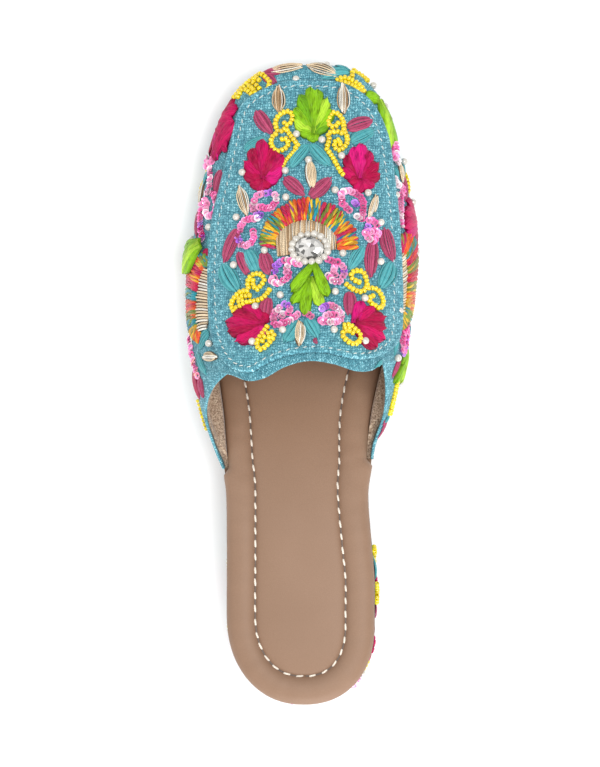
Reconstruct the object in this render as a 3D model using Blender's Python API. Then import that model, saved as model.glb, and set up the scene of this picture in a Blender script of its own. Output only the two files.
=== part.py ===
"""A woman's left mule: an embroidered cloth upper with a loafer plug, a padded footbed and a low covered heel.

Run it with: blender --background --python part.py

+Y runs to the toe, +X to the inner side of the foot and +Z up. The origin is on the floor, midway
along and midway across the shoe. Sizes are in millimetres, and become metres when a mesh is made.
A station is a distance forward from the back of the heel. In the tables, x is measured from the
middle of the heel.
"""

import math
from collections import namedtuple

import bmesh
import bpy
from mathutils import Vector

MM = 0.001
LATERAL, MEDIAL = -1, 1

# Driving sizes
LENGTH = 255.4
HEEL_HEIGHT = 25.0
HEEL_BACK, HEEL_LENGTH = 0.8, 66.0
HEEL_TAPER = 1.6
FLAT_FROM, FLAT_TO = 160.0, 202.0
TOE_SPRING = 7.0
SOLE_THICKNESS = 3.0
SOLE_INSET, SOLE_BEVEL = 0.4, 0.8
LIFT_THICKNESS, LIFT_BEVEL = 5.0, 0.6
WALL = 2.0
PLUG_THICKNESS = 1.6
GAP = 0.3
FACET_CLEAR = 0.25

# The outline closes at the heel and at the toe as a superellipse about these stations.
HEEL_CENTRE, HEEL_POWER = 34.0, 2.2
TOE_CENTRE, TOE_POWER = 163.0, 2.8
SWELL_AT_TOE = 3.0

# Section of the upper over its widest line: 1 at the ridge, 0 where it meets the side wall.
DOME_POWER, DOME_ROOT = 2.3, 0.5

# Rows of the last, heel to toe. axis: x of the ridge. lateral and medial: half-widths of the sole
# from that axis. swell: how far the side bulges past the sole. shoulder: height of the widest line
# over the sole. ridge: height of the top of the upper over the floor.
Row = namedtuple("Row", "at axis lateral medial swell_lateral swell_medial shoulder ridge")
LAST = [
    Row(0, -0.2, 29.3, 29.3, 0.0, 0.0, 5.0, 90.0),
    Row(34, -1.3, 29.3, 29.3, 0.0, 0.0, 5.0, 88.0),
    Row(50, -1.4, 29.2, 29.4, 0.0, 0.0, 5.0, 86.0),
    Row(66, -1.4, 29.2, 28.0, 0.0, 0.0, 5.0, 84.0),
    Row(84, -1.5, 29.6, 26.9, 0.2, 0.2, 5.0, 79.0),
    Row(96, -1.4, 31.8, 28.4, 1.0, 0.8, 6.5, 74.5),
    Row(104, -1.2, 33.0, 28.9, 2.4, 2.0, 9.5, 71.5),
    Row(116, -0.6, 35.0, 29.6, 5.0, 6.2, 13.0, 68.5),
    Row(131, 0.2, 38.4, 32.0, 6.0, 6.9, 14.5, 64.0),
    Row(148, 0.8, 42.2, 35.6, 4.4, 4.8, 13.8, 56.5),
    Row(163, 1.0, 44.1, 37.7, 3.6, 3.8, 12.6, 50.5),
    Row(183, 1.2, 43.7, 39.3, 3.5, 3.5, 11.6, 45.0),
    Row(207, 1.5, 41.7, 38.0, 3.2, 3.2, 10.6, 39.5),
    Row(228, 2.0, 41.6, 36.0, 3.1, 3.1, 10.0, 35.0),
    Row(LENGTH, 3.0, 43.0, 36.5, 3.0, 3.0, 9.5, 31.0),
]

# Top edge of the upper across the throat, from the outer corner to the inner one.
Throat = namedtuple("Throat", "x at")
THROAT = [
    Throat(-29.0, 131.8),
    Throat(-20.0, 129.2),
    Throat(-13.6, 130.4),
    Throat(-6.0, 134.6),
    Throat(3.5, 137.0),
    Throat(13.5, 135.7),
    Throat(22.0, 133.0),
    Throat(28.0, 133.3),
    Throat(32.5, 136.4),
]

# The upper runs back from the throat's corners in two wings that sink to the sole at these stations.
WING_END = {LATERAL: 93.5, MEDIAL: 97.5}
WING_TIP_HEIGHT = 0.8
WING_CURVE = 1.1

# Outline of the plug in plan, anticlockwise from its front.
Corner = namedtuple("Corner", "x at")
PLUG_OUTLINE = [
    Corner(3.0, 248.7),
    Corner(-8.0, 248.3),
    Corner(-19.5, 243.6),
    Corner(-25.4, 238.0),
    Corner(-28.4, 227.0),
    Corner(-33.0, 205.5),
    Corner(-36.0, 191.0),
    Corner(-37.0, 173.0),
    Corner(-35.8, 151.0),
    Corner(-32.2, 139.8),
    Corner(-26.6, 133.4),
    Corner(-19.0, 131.6),
    Corner(-13.0, 134.6),
    Corner(-4.5, 138.0),
    Corner(8.0, 139.2),
    Corner(22.0, 136.7),
    Corner(31.0, 138.7),
    Corner(37.0, 145.0),
    Corner(38.8, 160.0),
    Corner(38.6, 188.0),
    Corner(36.6, 212.0),
    Corner(33.0, 230.0),
    Corner(27.0, 241.0),
    Corner(16.0, 247.4),
]
PLUG_TAIL, PLUG_FRONT = 138.0, 240.0
PLUG_SPINE_FROM, PLUG_SPINE_TO = 152.0, 222.0

# Padded footbed. The border table gives the top's height over the sole at each distance in from the
# edge: a roll, the groove where it is stitched, and the rise to the middle. The middle table gives
# heights at shares of the way from there to the centre line.
Pad = namedtuple("Pad", "inward height")
FOOTBED_BORDER = [
    Pad(0.0, 2.4),
    Pad(0.5, 4.0),
    Pad(1.8, 5.6),
    Pad(5.5, 6.6),
    Pad(9.3, 5.9),
    Pad(10.8, 4.8),
    Pad(11.4, 4.4),
    Pad(12.0, 4.8),
]
FOOTBED_MIDDLE = [Pad(0.12, 5.6), Pad(0.45, 6.2), Pad(1.0, 6.3)]
FOOTBED_INSET = WALL + 2 * GAP
INSET_RUN, INSET_CLEAR = 10.0, 0.6
BORDER_NARROWS_FROM, BORDER_AT_TOE = 150.0, 0.45
CENTRE_LINE_FROM, CENTRE_LINE_TO = 30.0, 218.0

# How finely the curved pieces are divided
RIDGE_RIBS, THROAT_RIBS, WING_RIBS = 22, 7, 9
RIDGE_RIB_FRONT = 226.0
UPPER_ROWS = 11
PLUG_RIBS, PLUG_ROWS = 64, 6
END_STEPS, MIDDLE_STEPS, HEEL_STEPS = 12, 22, 6
FINE = 40

Finish = namedtuple("Finish", "colour roughness")
FINISHES = {
    "turquoise_cloth": Finish((0.09, 0.36, 0.43, 1.0), 0.85),
    "tan_leather": Finish((0.42, 0.27, 0.18, 1.0), 0.55),
    "brown_sole": Finish((0.20, 0.12, 0.08, 1.0), 0.65),
    "dark_rubber": Finish((0.04, 0.035, 0.03, 1.0), 0.7),
}


# ---------------------------------------------------------------- curves and tables


def smooth(knots, values, t):
    """Value at t of a smooth curve through (knots, values), held flat past either end."""
    if t <= knots[0]:
        return values[0]
    if t >= knots[-1]:
        return values[-1]
    i = max(k for k in range(len(knots) - 1) if knots[k] <= t)

    def slope(k):
        if k in (0, len(knots) - 1):
            return 0.0
        return (values[k + 1] - values[k - 1]) / (knots[k + 1] - knots[k - 1])

    span = knots[i + 1] - knots[i]
    rise = values[i + 1] - values[i]
    f = (t - knots[i]) / span
    early = slope(i) * span - rise
    late = rise - slope(i + 1) * span
    return values[i] + f * rise + f * (1 - f) * ((1 - f) * early + f * late)


def last(column, station):
    """A column of the last's table at any station."""
    return smooth([row.at for row in LAST], [getattr(row, column) for row in LAST], station)


def smooth_step(t):
    t = min(1.0, max(0.0, t))
    return t * t * (3 - 2 * t)


def closing(station, heel_at, toe_at):
    """Share of the full half-width at a station: 1 in the middle, 0 at either tip."""
    if station < HEEL_CENTRE:
        t = min(1.0, (HEEL_CENTRE - station) / (HEEL_CENTRE - heel_at))
        return (1 - t**HEEL_POWER) ** (1 / HEEL_POWER)
    if station > TOE_CENTRE:
        t = min(1.0, (station - TOE_CENTRE) / (toe_at - TOE_CENTRE))
        return (1 - t**TOE_POWER) ** (1 / TOE_POWER)
    return 1.0


def half_width(side, station, swell=0.0):
    """From the axis to the sole's edge, or to the widest line of the upper at swell 1, before closing."""
    name = "lateral" if side == LATERAL else "medial"
    return last(name, station) + swell * last("swell_" + name, station)


def heel_turn(heel_at):
    """Stations from the heel's tip to the heel's centre, close together where the outline turns."""
    turn = [math.pi / 2 * k / END_STEPS for k in range(END_STEPS + 1)]
    return [HEEL_CENTRE - (HEEL_CENTRE - heel_at) * math.cos(a) ** (2 / HEEL_POWER) for a in turn]


def outline_stations(heel_at, toe_at):
    """Stations from tip to tip."""
    turn = [math.pi / 2 * k / END_STEPS for k in range(END_STEPS, -1, -1)]
    toe = [TOE_CENTRE + (toe_at - TOE_CENTRE) * math.cos(a) ** (2 / TOE_POWER) for a in turn]
    step = (TOE_CENTRE - HEEL_CENTRE) / MIDDLE_STEPS
    return heel_turn(heel_at) + [HEEL_CENTRE + step * k for k in range(1, MIDDLE_STEPS)] + toe


def resample(points, count):
    """count + 1 points at equal distances along a polyline."""
    reached = [0.0]
    for a, b in zip(points, points[1:]):
        reached.append(reached[-1] + (b - a).length)
    found, n = [], 0
    for k in range(count + 1):
        goal = reached[-1] * k / count
        while n < len(points) - 2 and reached[n + 1] < goal:
            n += 1
        found.append(points[n].lerp(points[n + 1], (goal - reached[n]) / (reached[n + 1] - reached[n])))
    return found


def closed_curve(corners, count):
    """count points at equal distances along a smooth closed curve through the corners."""
    size = len(corners)
    dense = []
    for n in range(size):
        a, b, c, d = (Vector(corners[(n + k) % size]) for k in (-1, 0, 1, 2))
        for k in range(FINE):
            t = k / FINE
            cubic = (3 * b - a - 3 * c + d) * t**3
            dense.append(b + 0.5 * ((c - a) * t + (2 * a - 5 * b + 4 * c - d) * t**2 + cubic))
    return resample(dense + [dense[0].copy()], count)[:-1]


# ---------------------------------------------------------------- heights


def sole_bottom(station):
    """Height of the sole's underside: level under the heel, down the waist, flat, then toe spring."""
    waist = HEEL_HEIGHT * (1 - smooth_step((station - HEEL_LENGTH) / (FLAT_FROM - HEEL_LENGTH)))
    toe = max(0.0, (station - FLAT_TO) / (LENGTH - FLAT_TO))
    return waist + TOE_SPRING * toe**2


def feather(station):
    """Height of the upper's bottom edge and of the footbed's underside, just clear of the sole."""
    return sole_bottom(station) + SOLE_THICKNESS + GAP


def shoulder(station):
    """Height of the upper's widest line."""
    return feather(station) + last("shoulder", station)


def upper_height(x, station):
    """Height of the upper's outer face over a plan point inside its widest line."""
    across = x - last("axis", station)
    side = LATERAL if across < 0 else MEDIAL
    across = abs(across) / half_width(side, station, 1.0)
    forward = max(0.0, (station - TOE_CENTRE) / (LENGTH - TOE_CENTRE))
    out = min(1.0, (across**TOE_POWER + forward**TOE_POWER) ** (1 / TOE_POWER))
    low = shoulder(station)
    return low + (last("ridge", station) - low) * (1 - out**DOME_POWER) ** DOME_ROOT


def on_upper(x, station):
    return Vector((x, station, upper_height(x, station)))


def upper_normal(x, station):
    """Outward normal of the upper's outer face over a plan point."""
    step = 0.05
    across = upper_height(x + step, station) - upper_height(x - step, station)
    forward = upper_height(x, station + step) - upper_height(x, station - step)
    return Vector((-across, -forward, 2 * step)).normalized()


# ---------------------------------------------------------------- meshes


def material(name):
    made = bpy.data.materials.get(name) or bpy.data.materials.new(name)
    made.use_nodes = True
    shader = made.node_tree.nodes["Principled BSDF"]
    shader.inputs["Base Color"].default_value = FINISHES[name].colour
    shader.inputs["Roughness"].default_value = FINISHES[name].roughness
    shader.inputs["Metallic"].default_value = 0.0
    return made


def add_object(name, points, faces, finish):
    """A mesh object from points given as (x, station, height), with its faces turned outwards."""
    middle = Vector((0, LENGTH / 2, 0))
    mesh = bpy.data.meshes.new(name)
    mesh.from_pydata([(Vector(p) - middle) * MM for p in points], [], faces)
    shape = bmesh.new()
    shape.from_mesh(mesh)
    bmesh.ops.triangulate(shape, faces=shape.faces)
    bmesh.ops.recalc_face_normals(shape, faces=shape.faces)
    shape.to_mesh(mesh)
    shape.free()
    mesh.shade_smooth()
    mesh.set_sharp_from_angle(angle=math.radians(40))
    mesh.materials.append(material(finish))
    made = bpy.data.objects.new(name, mesh)
    bpy.context.scene.collection.objects.link(made)
    return made


def weld(points, faces):
    """The points to keep where several coincide, and the faces redrawn on them."""
    index, kept, place = {}, [], []
    for n, p in enumerate(points):
        key = tuple(round(c, 3) for c in p)
        if key not in index:
            index[key] = len(kept)
            kept.append(n)
        place.append(index[key])
    redrawn = []
    for face in faces:
        ring = [place[k] for k in face]
        ring = [k for n, k in enumerate(ring) if k != ring[n - 1]]
        if len(ring) > 2:
            redrawn.append(tuple(ring))
    return kept, redrawn


def grid_faces(ribs, rows, closed=False):
    """Quads between neighbouring ribs, each rib a run of rows points."""
    faces = []
    for i in range(ribs if closed else ribs - 1):
        a, b = i * rows, (i + 1) % ribs * rows
        faces += [(a + k, a + k + 1, b + k + 1, b + k) for k in range(rows - 1)]
    return faces


def solid_between(name, outer, inner, faces, finish):
    """A closed solid between two skins that share their faces, walled along every open edge."""
    kept, faces = weld(outer, faces)
    count = len(kept)
    edges = {(f[k - 1], f[k]) for f in faces for k in range(len(f))}
    walls = [(b, a, a + count, b + count) for a, b in edges if (b, a) not in edges]
    backs = [tuple(k + count for k in reversed(f)) for f in faces]
    points = [outer[n] for n in kept] + [inner[n] for n in kept]
    return add_object(name, points, faces + sorted(walls) + backs, finish)


def plate(name, levels, stations, finish):
    """A solid stacked from outlines. Each level gives the two edges and the height at a station."""
    rows = len(levels)
    points = []
    for side in (0, 1):
        for station in stations:
            points += [Vector((level(station)[side], station, level(station)[2])) for level in levels]
    count = len(stations)
    faces = grid_faces(2 * count, rows)
    faces = [f for n, f in enumerate(faces) if n // (rows - 1) != count - 1]
    far = count * rows
    for n in range(count - 1):
        for row in (0, rows - 1):
            a, b = n * rows + row, (n + 1) * rows + row
            faces.append((a, b, b + far, a + far))
    for n in (0, count - 1):
        a = n * rows
        faces += [(a + k, a + k + 1, a + k + 1 + far, a + k + far) for k in range(rows - 1)]
    kept, faces = weld(points, faces)
    return add_object(name, [points[n] for n in kept], faces, finish)


# ---------------------------------------------------------------- sole and heel


def sole_edge(side, station, inset, heel_at, toe_at):
    """x of an outline that lies inside the sole's edge by inset."""
    reach = (half_width(side, station) - inset) * closing(station, heel_at, toe_at)
    return last("axis", station) + side * reach


def level_at(inset, heel_at, toe_at, height):
    """One outline of a plate, whose height is a function of the station."""

    def level(station):
        left, right = (sole_edge(side, station, inset, heel_at, toe_at) for side in (LATERAL, MEDIAL))
        return left, right, height(station)

    return level


def make_outsole():
    tips = (SOLE_INSET, LENGTH - SWELL_AT_TOE)
    levels = [
        level_at(SOLE_INSET + SOLE_BEVEL, *tips, sole_bottom),
        level_at(SOLE_INSET, *tips, lambda s: sole_bottom(s) + SOLE_BEVEL),
        level_at(SOLE_INSET, *tips, lambda s: sole_bottom(s) + SOLE_THICKNESS),
    ]
    return plate("outsole", levels, outline_stations(*tips), "brown_sole")


def heel_plate(name, rings, front, finish):
    """A piece of the heel from rings (inset, height), drawn in at its back as much as at its sides."""
    step = (front - HEEL_CENTRE) / HEEL_STEPS
    stations = heel_turn(HEEL_BACK) + [HEEL_CENTRE + step * k for k in range(1, HEEL_STEPS + 1)]
    levels = [level_at(inset, HEEL_BACK, LENGTH, lambda s, z=height: z) for inset, height in rings]
    made = plate(name, levels, stations, finish)
    insets, heights = [r[0] for r in rings], [r[1] for r in rings]
    for vertex in made.data.vertices:
        station = vertex.co.y / MM + LENGTH / 2
        nearness = 1 - smooth_step((station - HEEL_BACK) / (HEEL_CENTRE - HEEL_BACK))
        vertex.co.y += smooth(heights, insets, vertex.co.z / MM) * nearness * MM
    return made


def make_heel():
    """The block under the heel, straight at its front and drawn in a little towards the floor."""
    low, high = LIFT_THICKNESS + GAP, HEEL_HEIGHT - GAP
    shares = (0.0, 0.3, 0.6, 1.0)
    rings = [(HEEL_TAPER * (1 - share) ** 1.5, low + (high - low) * share) for share in shares]
    return heel_plate("heel", rings, HEEL_LENGTH, "turquoise_cloth")


def make_heel_lift():
    """The rubber piece that the heel stands on, as wide as the block's foot."""
    rings = [(HEEL_TAPER + LIFT_BEVEL, 0.0), (HEEL_TAPER, LIFT_BEVEL), (HEEL_TAPER, LIFT_THICKNESS)]
    return heel_plate("heel_lift", rings, HEEL_LENGTH - SOLE_INSET, "dark_rubber")


# ---------------------------------------------------------------- footbed


def footbed_inset(side, station):
    """Footbed edge in from the sole's edge: flush at the heel, inside the upper's wall in front."""
    done_at = WING_END[side] - INSET_CLEAR
    return FOOTBED_INSET * smooth_step((station - done_at + INSET_RUN) / INSET_RUN)


def footbed_outline():
    """The footbed's edge in plan, from the heel up the outer side, round the toe and back."""
    toe_at = LENGTH - SWELL_AT_TOE - FOOTBED_INSET
    stations = outline_stations(0.0, toe_at)
    sides = []
    for side in (LATERAL, MEDIAL):
        sides.append([Vector((sole_edge(side, s, footbed_inset(side, s), 0.0, toe_at), s)) for s in stations])
    return sides[0] + sides[1][-2:0:-1]


def make_footbed():
    """A padded board: a rolled border, a groove where it is stitched, and a soft middle."""
    loop = footbed_outline()
    outer, inner = [], []
    for n, edge in enumerate(loop):
        run = loop[(n + 1) % len(loop)] - loop[n - 1]
        inward = Vector((run.y, -run.x)).normalized()
        narrowing = smooth_step((edge.y - BORDER_NARROWS_FROM) / (LENGTH - BORDER_NARROWS_FROM))
        width = 1 - narrowing * (1 - BORDER_AT_TOE)
        rib = [(edge + inward * pad.inward * width, pad.height) for pad in FOOTBED_BORDER]
        start = rib[-1][0]
        centre_at = min(CENTRE_LINE_TO, max(CENTRE_LINE_FROM, edge.y))
        centre = Vector((last("axis", centre_at), centre_at))
        rib += [(start.lerp(centre, pad.inward), pad.height) for pad in FOOTBED_MIDDLE]
        outer += [Vector((p.x, p.y, feather(p.y) + height)) for p, height in rib]
        inner += [Vector((p.x, p.y, feather(p.y))) for p, _ in rib]
    rows = len(FOOTBED_BORDER) + len(FOOTBED_MIDDLE)
    return solid_between("footbed", outer, inner, grid_faces(len(loop), rows, closed=True), "tan_leather")


# ---------------------------------------------------------------- upper


def toe_foot(side, turn):
    """Plan points (sole edge, widest line), where turn runs from 0 at the toe's tip to 1 beside its centre."""
    angle = turn * math.pi / 2
    foot = []
    for toe_at, swell in ((LENGTH - SWELL_AT_TOE, 0.0), (LENGTH, 1.0)):
        station = TOE_CENTRE + (toe_at - TOE_CENTRE) * math.cos(angle) ** (2 / TOE_POWER)
        reach = half_width(side, station, swell) * math.sin(angle) ** (2 / TOE_POWER)
        foot.append(Vector((last("axis", station) + side * reach, station)))
    return foot


def side_foot(side, station):
    """Plan points (sole edge, widest line) at a station behind the toe's centre."""
    axis = last("axis", station)
    return [Vector((axis + side * half_width(side, station, swell), station)) for swell in (0.0, 1.0)]


def rib_feet(side, corner_at):
    """Where the ribs stand, as (sole edge, widest line), from the toe's tip back to the wing's end."""
    dense = [toe_foot(side, k / FINE) for k in range(FINE)]
    dense += [side_foot(side, TOE_CENTRE + (corner_at - TOE_CENTRE) * k / FINE) for k in range(FINE + 1)]
    pairs = [Vector((*edge, *widest)) for edge, widest in dense]
    spaced = resample(pairs, RIDGE_RIBS + THROAT_RIBS)
    feet = [[Vector(pair[:2]), Vector(pair[2:])] for pair in spaced]
    wing = WING_END[side] - corner_at
    return feet + [side_foot(side, corner_at + wing * k / WING_RIBS) for k in range(1, WING_RIBS + 1)]


def throat_curve(side):
    """The upper's top edge in plan, from the ridge to the corner of one side."""
    xs, ats = [t.x for t in THROAT], [t.at for t in THROAT]
    middle, end = last("axis", max(ats)), xs[0] if side == LATERAL else xs[-1]
    across = [middle + (end - middle) * k / FINE for k in range(FINE + 1)]
    return [Vector((x, smooth(xs, ats, x))) for x in across]


def section(foot, target):
    """One rib: up the side wall from the sole's edge to the widest line, then over to a plan point."""
    edge, widest = foot
    low, high = feather(edge.y), shoulder(widest.y)
    rib = []
    for k in range(FINE):
        plan = edge.lerp(widest, math.sin(math.pi / 2 * k / FINE))
        rib.append(Vector((plan.x, plan.y, low + (high - low) * k / FINE)))
    for k in range(FINE + 1):
        plan = widest.lerp(target, 1 - math.cos(math.pi / 2 * k / FINE))
        rib.append(on_upper(plan.x, plan.y))
    return rib


def cut_at_height(rib, height):
    """The part of a rising rib that lies below a height."""
    for n in range(1, len(rib)):
        if rib[n].z >= height:
            share = (height - rib[n - 1].z) / (rib[n].z - rib[n - 1].z)
            return rib[:n] + [rib[n - 1].lerp(rib[n], share)]
    return rib


def upper_side(side):
    """The ribs of one side, from the toe's tip back to the wing's end, each from sole to top edge."""
    throat = throat_curve(side)
    corner = throat[-1]
    feet = rib_feet(side, corner.y)
    ridge_run = throat[0].y - RIDGE_RIB_FRONT
    ridge = [RIDGE_RIB_FRONT + ridge_run * k / RIDGE_RIBS for k in range(RIDGE_RIBS + 1)]
    targets = [Vector((last("axis", s), s)) for s in ridge] + resample(throat, THROAT_RIBS)[1:]
    ribs = [section(foot, target) for foot, target in zip(feet, targets)]
    end_at = WING_END[side]
    end_height = feather(end_at) + WING_TIP_HEIGHT
    corner_height = upper_height(corner.x, corner.y)
    for foot in feet[len(targets):]:
        station = foot[0].y
        share = (station - end_at) / (corner.y - end_at)
        height = end_height + (corner_height - end_height) * share**WING_CURVE
        ribs.append(cut_at_height(section(foot, Vector((last("axis", station), station))), height))
    return [resample(rib, UPPER_ROWS) for rib in ribs]


def face_normals(points, faces):
    """Outward normal at each point, from the faces round it, on a skin that faces up."""
    normals = [Vector((0, 0, 0)) for _ in points]
    for face in faces:
        a, b, c, d = (points[k] for k in (face[0], face[1], face[-2], face[-1]))
        normal = (c - a).cross(d - b)
        for k in face:
            normals[k] += normal
    up = 1 if sum(n.z for n in normals) > 0 else -1
    return [n.normalized() * up for n in normals]


def make_upper():
    """The hollow vamp: one wall from the sole's edge over the foot, open at the throat and underneath."""
    ribs = upper_side(LATERAL)[:0:-1] + upper_side(MEDIAL)
    rows = UPPER_ROWS + 1
    faces = grid_faces(len(ribs), rows)
    outer = [p for rib in ribs for p in rib]
    kept, faces = weld(outer, faces)
    outer = [outer[n] for n in kept]
    inner = []
    for point, normal in zip(outer, face_normals(outer, faces)):
        if point.z < feather(point.y) + GAP:
            normal = Vector((normal.x, normal.y, 0)).normalized()
        inner.append(point - normal * WALL)
    return solid_between("upper", outer, inner, faces, "turquoise_cloth")


def make_plug():
    """The panel on top of the vamp, cut between two forms that both follow the upper's face."""
    loop = closed_curve(PLUG_OUTLINE, PLUG_RIBS)
    outer, inner = [], []
    for n, edge in enumerate(loop):
        across = loop[-n % PLUG_RIBS]
        share = min(1.0, max(0.0, ((edge.y + across.y) / 2 - PLUG_TAIL) / (PLUG_FRONT - PLUG_TAIL)))
        spine_at = PLUG_SPINE_FROM + (PLUG_SPINE_TO - PLUG_SPINE_FROM) * share
        spine = Vector((last("axis", spine_at), spine_at))
        for k in range(PLUG_ROWS + 1):
            plan = edge.lerp(spine, (k / PLUG_ROWS) ** 1.3)
            face, normal = on_upper(plan.x, plan.y), upper_normal(plan.x, plan.y)
            inner.append(face + normal * (GAP + FACET_CLEAR))
            outer.append(inner[-1] + normal * PLUG_THICKNESS)
    faces = grid_faces(PLUG_RIBS, PLUG_ROWS + 1, closed=True)
    return solid_between("plug", outer, inner, faces, "turquoise_cloth")


def centre(pieces):
    """Slides everything so that the origin is midway along and midway across the whole shoe."""
    points = [vertex.co for piece in pieces for vertex in piece.data.vertices]
    middle = [(min(p[k] for p in points) + max(p[k] for p in points)) / 2 for k in (0, 1)]
    for piece in pieces:
        for vertex in piece.data.vertices:
            vertex.co -= Vector((*middle, 0))


def main():
    for found in list(bpy.data.objects):
        bpy.data.objects.remove(found)
    centre([make_outsole(), make_heel(), make_heel_lift(), make_footbed(), make_upper(), make_plug()])


main()
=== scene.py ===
"""Looks of a woman's left mule: embroidered cloth with a loafer plug, a padded footbed and a covered heel.

Sizes are in millimetres until a mesh is made. A station is a distance forward from the back of the
heel, and in the tables x is measured from the middle of the heel, as in the CAD model's own source.
Three ways to name a place on the shoe are used: plan (x, station) over the upper, wall (along, up)
round the side from the toe's tip, lateral side negative, and heel (along, height) round the block.
"""

import math
import random
from collections import namedtuple

import bmesh
import bpy
import numpy as np
from mathutils import Matrix, Vector


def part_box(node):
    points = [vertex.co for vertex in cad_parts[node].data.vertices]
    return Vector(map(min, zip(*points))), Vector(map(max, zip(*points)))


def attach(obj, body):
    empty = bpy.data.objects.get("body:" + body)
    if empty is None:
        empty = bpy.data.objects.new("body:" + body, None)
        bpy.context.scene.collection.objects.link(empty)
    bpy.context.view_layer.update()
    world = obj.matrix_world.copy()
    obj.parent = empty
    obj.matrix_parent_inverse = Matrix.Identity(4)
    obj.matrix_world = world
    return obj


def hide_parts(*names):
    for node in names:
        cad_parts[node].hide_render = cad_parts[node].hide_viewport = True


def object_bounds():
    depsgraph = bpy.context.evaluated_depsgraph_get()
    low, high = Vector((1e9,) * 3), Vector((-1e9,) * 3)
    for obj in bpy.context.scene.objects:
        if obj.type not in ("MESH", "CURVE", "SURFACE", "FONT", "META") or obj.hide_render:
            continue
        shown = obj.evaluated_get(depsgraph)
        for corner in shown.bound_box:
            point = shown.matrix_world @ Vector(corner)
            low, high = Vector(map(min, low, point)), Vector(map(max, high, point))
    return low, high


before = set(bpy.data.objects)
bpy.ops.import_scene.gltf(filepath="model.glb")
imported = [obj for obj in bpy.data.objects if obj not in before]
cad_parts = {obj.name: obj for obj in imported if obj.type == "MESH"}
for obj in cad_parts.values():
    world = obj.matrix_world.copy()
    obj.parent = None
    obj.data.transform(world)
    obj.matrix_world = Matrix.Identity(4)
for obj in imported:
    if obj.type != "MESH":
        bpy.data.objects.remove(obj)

CAD_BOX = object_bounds()
MM = 0.001
LATERAL, MEDIAL = -1, 1
draw = random.Random(11)

# ---------------------------------------------------------------- vectors and curves


def unit(vectors):
    """Vectors scaled to length 1 along their last axis."""
    return vectors / np.maximum(np.linalg.norm(vectors, axis=-1, keepdims=True), 1e-9)


def dots(a, b):
    return np.sum(a * b, axis=-1, keepdims=True)


def stack(*columns):
    """Numbers or arrays joined along a new last axis."""
    return np.stack(np.broadcast_arrays(*columns), axis=-1).astype(float)


def lengths_along(points):
    """Distance run along a polyline at each of its points."""
    return np.concatenate([[0.0], np.cumsum(np.linalg.norm(np.diff(points, axis=0), axis=1))])


def at_lengths(points, reached, goals):
    """Points of a polyline at given distances along it."""
    return np.stack([np.interp(goals, reached, points[:, k]) for k in range(points.shape[1])], axis=-1)


def resample(points, count):
    """count + 1 points at equal distances along a polyline."""
    reached = lengths_along(points)
    return at_lengths(points, reached, np.linspace(0, reached[-1], count + 1))


def curve_through(corners, closed=False, fine=12):
    """A dense smooth curve through a few points."""
    corners = np.asarray(corners, float)
    if closed:
        padded = np.concatenate([corners[-1:], corners, corners[:2]])
    else:
        ends = (2 * corners[0] - corners[1], 2 * corners[-1] - corners[-2])
        padded = np.concatenate([ends[0][None], corners, ends[1][None]])
    t = np.arange(fine)[:, None] / fine
    runs = []
    for a, b, c, d in zip(padded, padded[1:], padded[2:], padded[3:]):
        cubic = (3 * b - a - 3 * c + d) * t**3
        runs.append(b + 0.5 * ((c - a) * t + (2 * a - 5 * b + 4 * c - d) * t**2 + cubic))
    end = corners[0] if closed else corners[-1]
    return np.concatenate(runs + [end[None]])


def smooth(knots, values, t):
    """Values at t of a smooth curve through (knots, values), held flat past either end."""
    knots, values = np.asarray(knots, float), np.asarray(values, float)
    t = np.clip(t, knots[0], knots[-1])
    slopes = np.zeros(len(knots))
    slopes[1:-1] = (values[2:] - values[:-2]) / (knots[2:] - knots[:-2])
    i = np.clip(np.searchsorted(knots, t, "right") - 1, 0, len(knots) - 2)
    span, rise = knots[i + 1] - knots[i], values[i + 1] - values[i]
    f = (t - knots[i]) / span
    early, late = slopes[i] * span - rise, rise - slopes[i + 1] * span
    return values[i] + f * rise + f * (1 - f) * ((1 - f) * early + f * late)


def smooth_step(t):
    """Eases from 0 to 1 as t goes from 0 to 1."""
    t = np.clip(t, 0.0, 1.0)
    return t * t * (3 - 2 * t)


# ---------------------------------------------------------------- the last, as in the CAD source

LENGTH = 255.4
HEEL_HEIGHT, HEEL_BACK, HEEL_LENGTH, HEEL_TAPER = 25.0, 0.8, 66.0, 1.6
FLAT_FROM, FLAT_TO, TOE_SPRING = 160.0, 202.0, 7.0
SOLE_THICKNESS, SOLE_INSET, LIFT_THICKNESS = 3.0, 0.4, 5.0
WALL, GAP, PLUG_RISE = 2.0, 0.3, 2.15
HEEL_CENTRE, HEEL_POWER = 34.0, 2.2
TOE_CENTRE, TOE_POWER = 163.0, 2.8
SWELL_AT_TOE = 3.0
DOME_POWER, DOME_ROOT = 2.3, 0.5

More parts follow.
